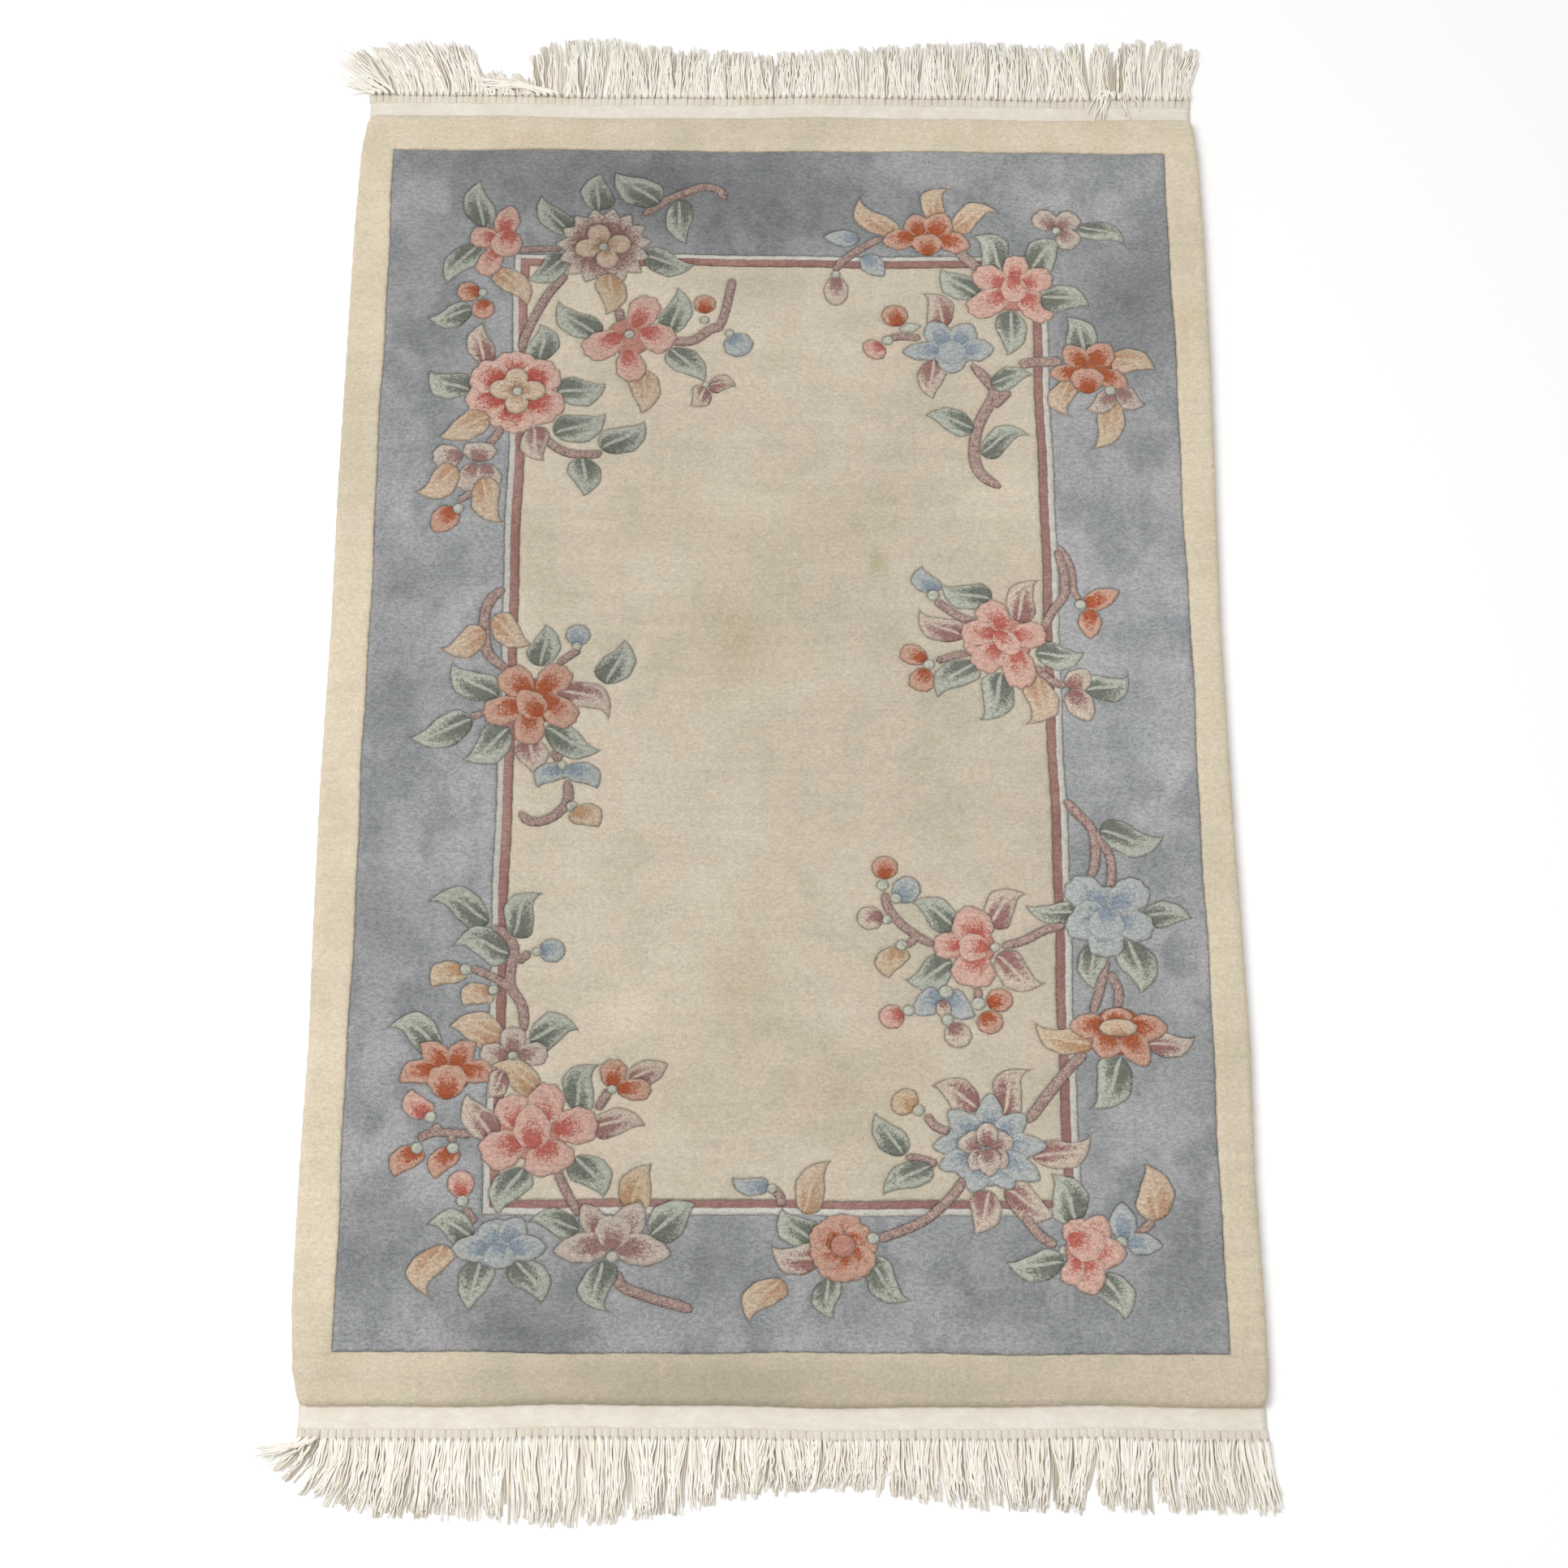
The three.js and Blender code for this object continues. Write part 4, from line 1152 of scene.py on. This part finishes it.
class Graph:
    """A small helper that adds nodes to a material and joins them."""

    def __init__(self, name):
        self.material = bpy.data.materials.new(name)
        self.material.use_nodes = True
        self.tree = self.material.node_tree
        self.shader = self.tree.nodes["Principled BSDF"]

    def add(self, kind, inputs, **settings):
        node = self.tree.nodes.new("ShaderNode" + kind)
        for key, value in settings.items():
            setattr(node, key, value)
        for key, value in inputs.items():
            self.put(node.inputs[key], value)
        return node

    def put(self, socket, value):
        if isinstance(value, bpy.types.NodeSocket):
            self.tree.links.new(value, socket)
        else:
            socket.default_value = value

    def calculate(self, operation, *values):
        return self.add("Math", dict(enumerate(values)), operation=operation).outputs[0]

    plus = partialmethod(calculate, "ADD")
    minus = partialmethod(calculate, "SUBTRACT")
    times = partialmethod(calculate, "MULTIPLY")
    above = partialmethod(calculate, "GREATER_THAN")
    size = partialmethod(calculate, "ABSOLUTE")

    def rise(self, value, low, high, start=0.0, stop=1.0):
        """A smooth step from start to stop as the value goes from low to high."""
        inputs = {"Value": value, "From Min": low, "From Max": high, "To Min": start, "To Max": stop}
        return self.add("MapRange", inputs, interpolation_type="SMOOTHSTEP").outputs["Result"]

    def mix(self, share, first, second, blend="MIX"):
        inputs = {"Factor": share, 6: first, 7: second}
        return self.add("Mix", inputs, data_type="RGBA", blend_type=blend).outputs[2]

    def tinted(self, colour, tint):
        return self.mix(1.0, colour, tint, "MULTIPLY")

    def attribute(self, name, output="Color"):
        return self.add("Attribute", {}, attribute_name=name).outputs[output]

    def numbers(self, name):
        """The three numbers of a vector attribute."""
        return self.add("SeparateXYZ", {"Vector": self.attribute(name, "Vector")}).outputs

    def place(self, stretch=(1, 1, 1)):
        """Places on the object in metres, stretched for a grain."""
        source = self.add("TexCoord", {}).outputs["Object"]
        return self.add("Mapping", {"Vector": source, "Scale": stretch}).outputs["Vector"]

    def noise(self, scale, detail=3.0, stretch=(1, 1, 1), rough=0.5):
        inputs = {"Vector": self.place(stretch), "Scale": scale, "Detail": detail, "Roughness": rough}
        return self.add("TexNoise", inputs).outputs["Fac"]

    def bump(self, height, strength, distance):
        node = self.add("Bump", {"Height": height, "Strength": strength, "Distance": distance})
        self.put(self.shader.inputs["Normal"], node.outputs["Normal"])

    def finish(self, colour, roughness, sheen):
        inputs = {"Base Color": colour, "Roughness": roughness, "Specular IOR Level": 0.15,
                  "Sheen Weight": sheen, "Sheen Roughness": 0.6}
        for key, value in inputs.items():
            self.put(self.shader.inputs[key], value)
        return self.material


def wool_relief(graph):
    """The fine relief of cut tufts with the faint rows of knots: the tufts alone, and both."""
    tufts = graph.noise(560, rough=0.65)
    rows = graph.noise(300, 2.0, (0.6, 1, 1))
    nap = graph.plus(graph.times(tufts, 0.6), graph.times(rows, 0.4))
    graph.bump(nap, 0.9, 0.0028)
    return tufts, nap


def wool_finish(graph, colour, tufts, nap, grain, to_edge):
    """Wool that is lighter and darker from tuft to tuft, with painted shadow darkening the shorn groove
    beside a motif.
    """
    colour = graph.tinted(colour, graph.rise(nap, 0.28, 0.72, 1 - grain, 1 + grain * 0.45))
    # Painted shadow along the shorn groove, ragged with the tufts
    ragged = graph.plus(to_edge, graph.times(graph.minus(tufts, 0.5), 2.2))
    colour = graph.mix(graph.rise(ragged, 0.1, 1.7, 0.4, 0.0), colour, linear(GROOVE_SHADOW_TONE))
    return graph.finish(colour, *WOOL_SURFACE)


def ground_material(name, tones, grain):
    """Wool of the plain ground, mottled in soft patches of its four tones."""
    graph = Graph(name)
    tufts, nap = wool_relief(graph)
    patches = [
        graph.rise(graph.noise(9, rough=0.6), 0.36, 0.64),
        graph.rise(graph.noise(24, 3.0, (1, 0.7, 1), 0.55), 0.42, 0.66),
        graph.times(graph.rise(graph.noise(80, rough=0.7), 0.34, 0.7), 0.3),
    ]
    colour = linear(tones[0])
    for share, tone in zip(patches, tones[1:]):
        colour = graph.mix(share, colour, linear(tone))
    # Stains, the wool's own patches and wear, and painted light and shade across the rug
    colour = graph.tinted(colour, graph.attribute("tint"))
    colour = graph.tinted(colour, graph.rise(graph.noise(70, 2.0, (0.06, 1, 1)), 0.3, 0.7, 0.97, 1.02))
    return wool_finish(graph, colour, tufts, nap, grain, graph.attribute("to_edge", "Fac"))


def leaf_shade(graph, across, hand, along, rib):
    """How deep the tone of a leaf is: dark beside the rib, more so in one half, and pale to the edge."""
    side = graph.times(across, graph.minus(graph.above(hand, 0.5), 0.5))
    width = graph.size(across)
    toward = graph.minus(along, graph.times(side, 0.6))
    shade = graph.rise(graph.plus(toward, graph.rise(width, 0.3, 1.0, 0.0, 0.55)), -0.3, 0.3, 1.0, 0.0)
    line = graph.times(graph.rise(width, 0.05, 0.17, 0.9, 0.0), rib)
    return graph.times(shade, graph.minus(1.0, line))


def motif_material(name):
    """Wool of the motifs: deep at the foot, pale to the tip, with a pale rib and painted shadow along the
    shorn outline.
    """
    graph = Graph(name)
    tufts, nap = wool_relief(graph)
    place = graph.numbers("place")
    habit = graph.numbers("habit")
    wander = graph.minus(graph.noise(150, rough=0.7), 0.5)
    ragged = graph.minus(tufts, 0.5)
    along = graph.plus(place["X"], graph.plus(graph.times(wander, 0.75), ragged))
    from_reach = graph.minus(along, habit["X"])
    petal_edge = graph.rise(graph.size(place["Y"]), 0.3, 1.0, 0.0, 0.6)
    petal = graph.rise(graph.plus(from_reach, petal_edge), -0.3, 0.24, 1.0, 0.0)
    short_rib = graph.rise(place["X"], 0.55, 0.8, 1.0, 0.0)
    leaf = leaf_shade(graph, place["Y"], habit["Z"], from_reach, short_rib)
    is_leaf = graph.above(habit["Y"], 0.1)
    deepness = graph.plus(graph.times(leaf, is_leaf), graph.times(petal, graph.minus(1.0, is_leaf)))
    colour = graph.mix(deepness, graph.attribute("pale_tone"), graph.attribute("deep_tone"))
    # Stains with painted light and shade: the motifs darker on the left of the rug and lighter on its right
    colour = graph.tinted(colour, graph.attribute("tint"))
    return wool_finish(graph, colour, tufts, nap, MOTIF_GRAIN, place["Z"])


def web_material(name, tones):
    """Unbleached cotton in a flat ribbed weave, with painted shade in the hollows between its ribs."""
    graph = Graph(name)
    ground, patch, darker_tone_and_shade = map(linear, tones)
    colour = graph.mix(graph.rise(graph.noise(22), 0.35, 0.68), ground, patch)
    wave = {"Vector": graph.place(), "Scale": 260, "Distortion": 1.2, "Detail": 2.0}
    ribs = graph.add("TexWave", wave, bands_direction="Y").outputs["Fac"]
    relief = graph.plus(graph.times(ribs, 0.5), graph.noise(900, rough=0.6))
    graph.bump(relief, 0.4, 0.0006)
    # Painted shade in the hollows between the ribs of the weave
    colour = graph.mix(graph.rise(relief, 0.3, 0.9, 0.2, 0.0), colour, darker_tone_and_shade)
    # Darker patches of the cotton itself
    mottled = graph.rise(graph.noise(160, 3.0, (0.6, 1, 1), 0.7), 0.35, 0.7, 0.45, 0.0)
    return graph.finish(graph.mix(mottled, colour, darker_tone_and_shade), *COTTON_SURFACE)


def strand_material(name, tones, gaps):
    """Cotton yarns or knots that each have their own tone, the strands underneath in painted shade, and
    painted shade where the gaps between them start.
    """
    graph = Graph(name)
    ground, patch, darker_tone_and_shade, gap, painted_under_shade = map(linear, tones)
    strand = graph.numbers("strand")
    colour = graph.mix(graph.rise(graph.noise(40), 0.35, 0.68), ground, patch)
    colour = graph.mix(graph.rise(strand["X"], 0.3, 0.8, 0.0, 0.7), colour, darker_tone_and_shade)
    # Painted shade on the strands underneath
    colour = graph.mix(graph.rise(strand["X"], 0.75, 1.0, 0.0, 0.7), colour, painted_under_shade)
    # Painted shade in the gaps between neighbouring strands
    slit = graph.times(graph.rise(strand["Z"], 0.8, 0.9), graph.rise(strand["Y"], *gaps))
    graph.bump(graph.noise(900, rough=0.6), 0.5, 0.0006)
    return graph.finish(graph.mix(slit, colour, gap), *COTTON_SURFACE)


# The stage

FLOOR_HALF = 6.0
FLOOR_DROP = 0.0004
FLOOR_TONE = (254, 254, 254)
WORLD_STRENGTH = 0.72
LIGHT_PLACE = Vector((-1.6, -0.4, 3.2))
LIGHT_SIZE = 1.8
LIGHT_POWER = 62
CAMERA_PLACE = (-0.03929, -2.36901, 3.97681)
CAMERA_TURN = (29.8721, -0.6904, -0.1071)
CAMERA_LENS = 103.525
SENSOR_WIDTH = 36


def make_floor():
    """A plain pale floor."""
    corners = [(-1, -1), (1, -1), (1, 1), (-1, 1)]
    points = np.array([(x * FLOOR_HALF, y * FLOOR_HALF, -FLOOR_DROP) for x, y in corners])
    material = Graph("pale_floor").finish(linear(FLOOR_TONE), *FLOOR_SURFACE)
    make_object("floor", points, [[0, 1, 2, 3]], material)


def place_object(name, data, place, turn):
    """A light or a camera at its place."""
    made = bpy.data.objects.new(name, data)
    made.location = place
    made.rotation_euler = turn
    bpy.context.scene.collection.objects.link(made)
    return made


def make_light():
    """A soft square light that shines on the middle of the rug."""
    data = bpy.data.lights.new("key_light", "AREA")
    data.size = LIGHT_SIZE
    data.energy = LIGHT_POWER
    place_object("key_light", data, LIGHT_PLACE, (-LIGHT_PLACE).to_track_quat("-Z", "Y").to_euler())


def make_world():
    """Even light from all round."""
    world = bpy.data.worlds.new("studio")
    world.use_nodes = True
    background = world.node_tree.nodes["Background"]
    background.inputs["Color"].default_value = (1.0, 1.0, 1.0, 1.0)
    background.inputs["Strength"].default_value = WORLD_STRENGTH
    bpy.context.scene.world = world


def make_camera():
    """The photograph's view."""
    data = bpy.data.cameras.new("camera")
    data.lens = CAMERA_LENS
    data.sensor_width = SENSOR_WIDTH
    turn = [math.radians(angle) for angle in CAMERA_TURN]
    bpy.context.scene.camera = place_object("camera", data, CAMERA_PLACE, turn)


make_camera()
make_floor()
bpy.context.scene.view_settings.view_transform = "Standard"
make_world()
make_light()

# The rug

shapes = [Shape("guard", pile_edge())]
shapes += [zone_shape(name, *sides) for name, sides in FRAME_ZONES.items()]
shapes += spray_shapes()
plan = make_plan(shapes)
heights = pile_heights(plan, shapes)
areas = np.array([YARNS[shape.yarn].piece if shape.yarn in YARNS else shape.yarn for shape in shapes])

pile_pieces = []
for zone, tones in GROUND_TONES.items():
    wool = ground_material(zone + "_wool", tones, GROUND_GRAIN[zone])
    pile_pieces.append(make_ground(zone, plan, heights, areas[plan.owner] == zone, wool))
wool = motif_material("motif_wool")
for piece in ("leaves", "blossoms", "stems"):
    pile_pieces.append(make_motifs("pile_" + piece, plan, heights, shapes, areas[plan.owner] == piece, wool))

web_cotton = web_material("web_cotton", WEB_TONES)
knot_cotton = strand_material("knot_cotton", KNOT_TONES, KNOT_GAPS)
yarn_cotton = strand_material("yarn_cotton", YARN_TONES, YARN_GAPS)
foundation = make_foundation(web_cotton)
knots = [make_knots(end, side, seed, knot_cotton) for end, side, seed, _, _, _ in ENDS]
yarns = [make_fringe(end, side, fringe, swept, seed, yarn_cotton)
         for end, side, _, seed, fringe, swept in ENDS]

for piece in pile_pieces:
    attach(piece, "root")
for piece in [foundation, *knots, *yarns]:
    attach(piece, "root")
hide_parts("carpet")
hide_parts("fringe_far")
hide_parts("fringe_near")
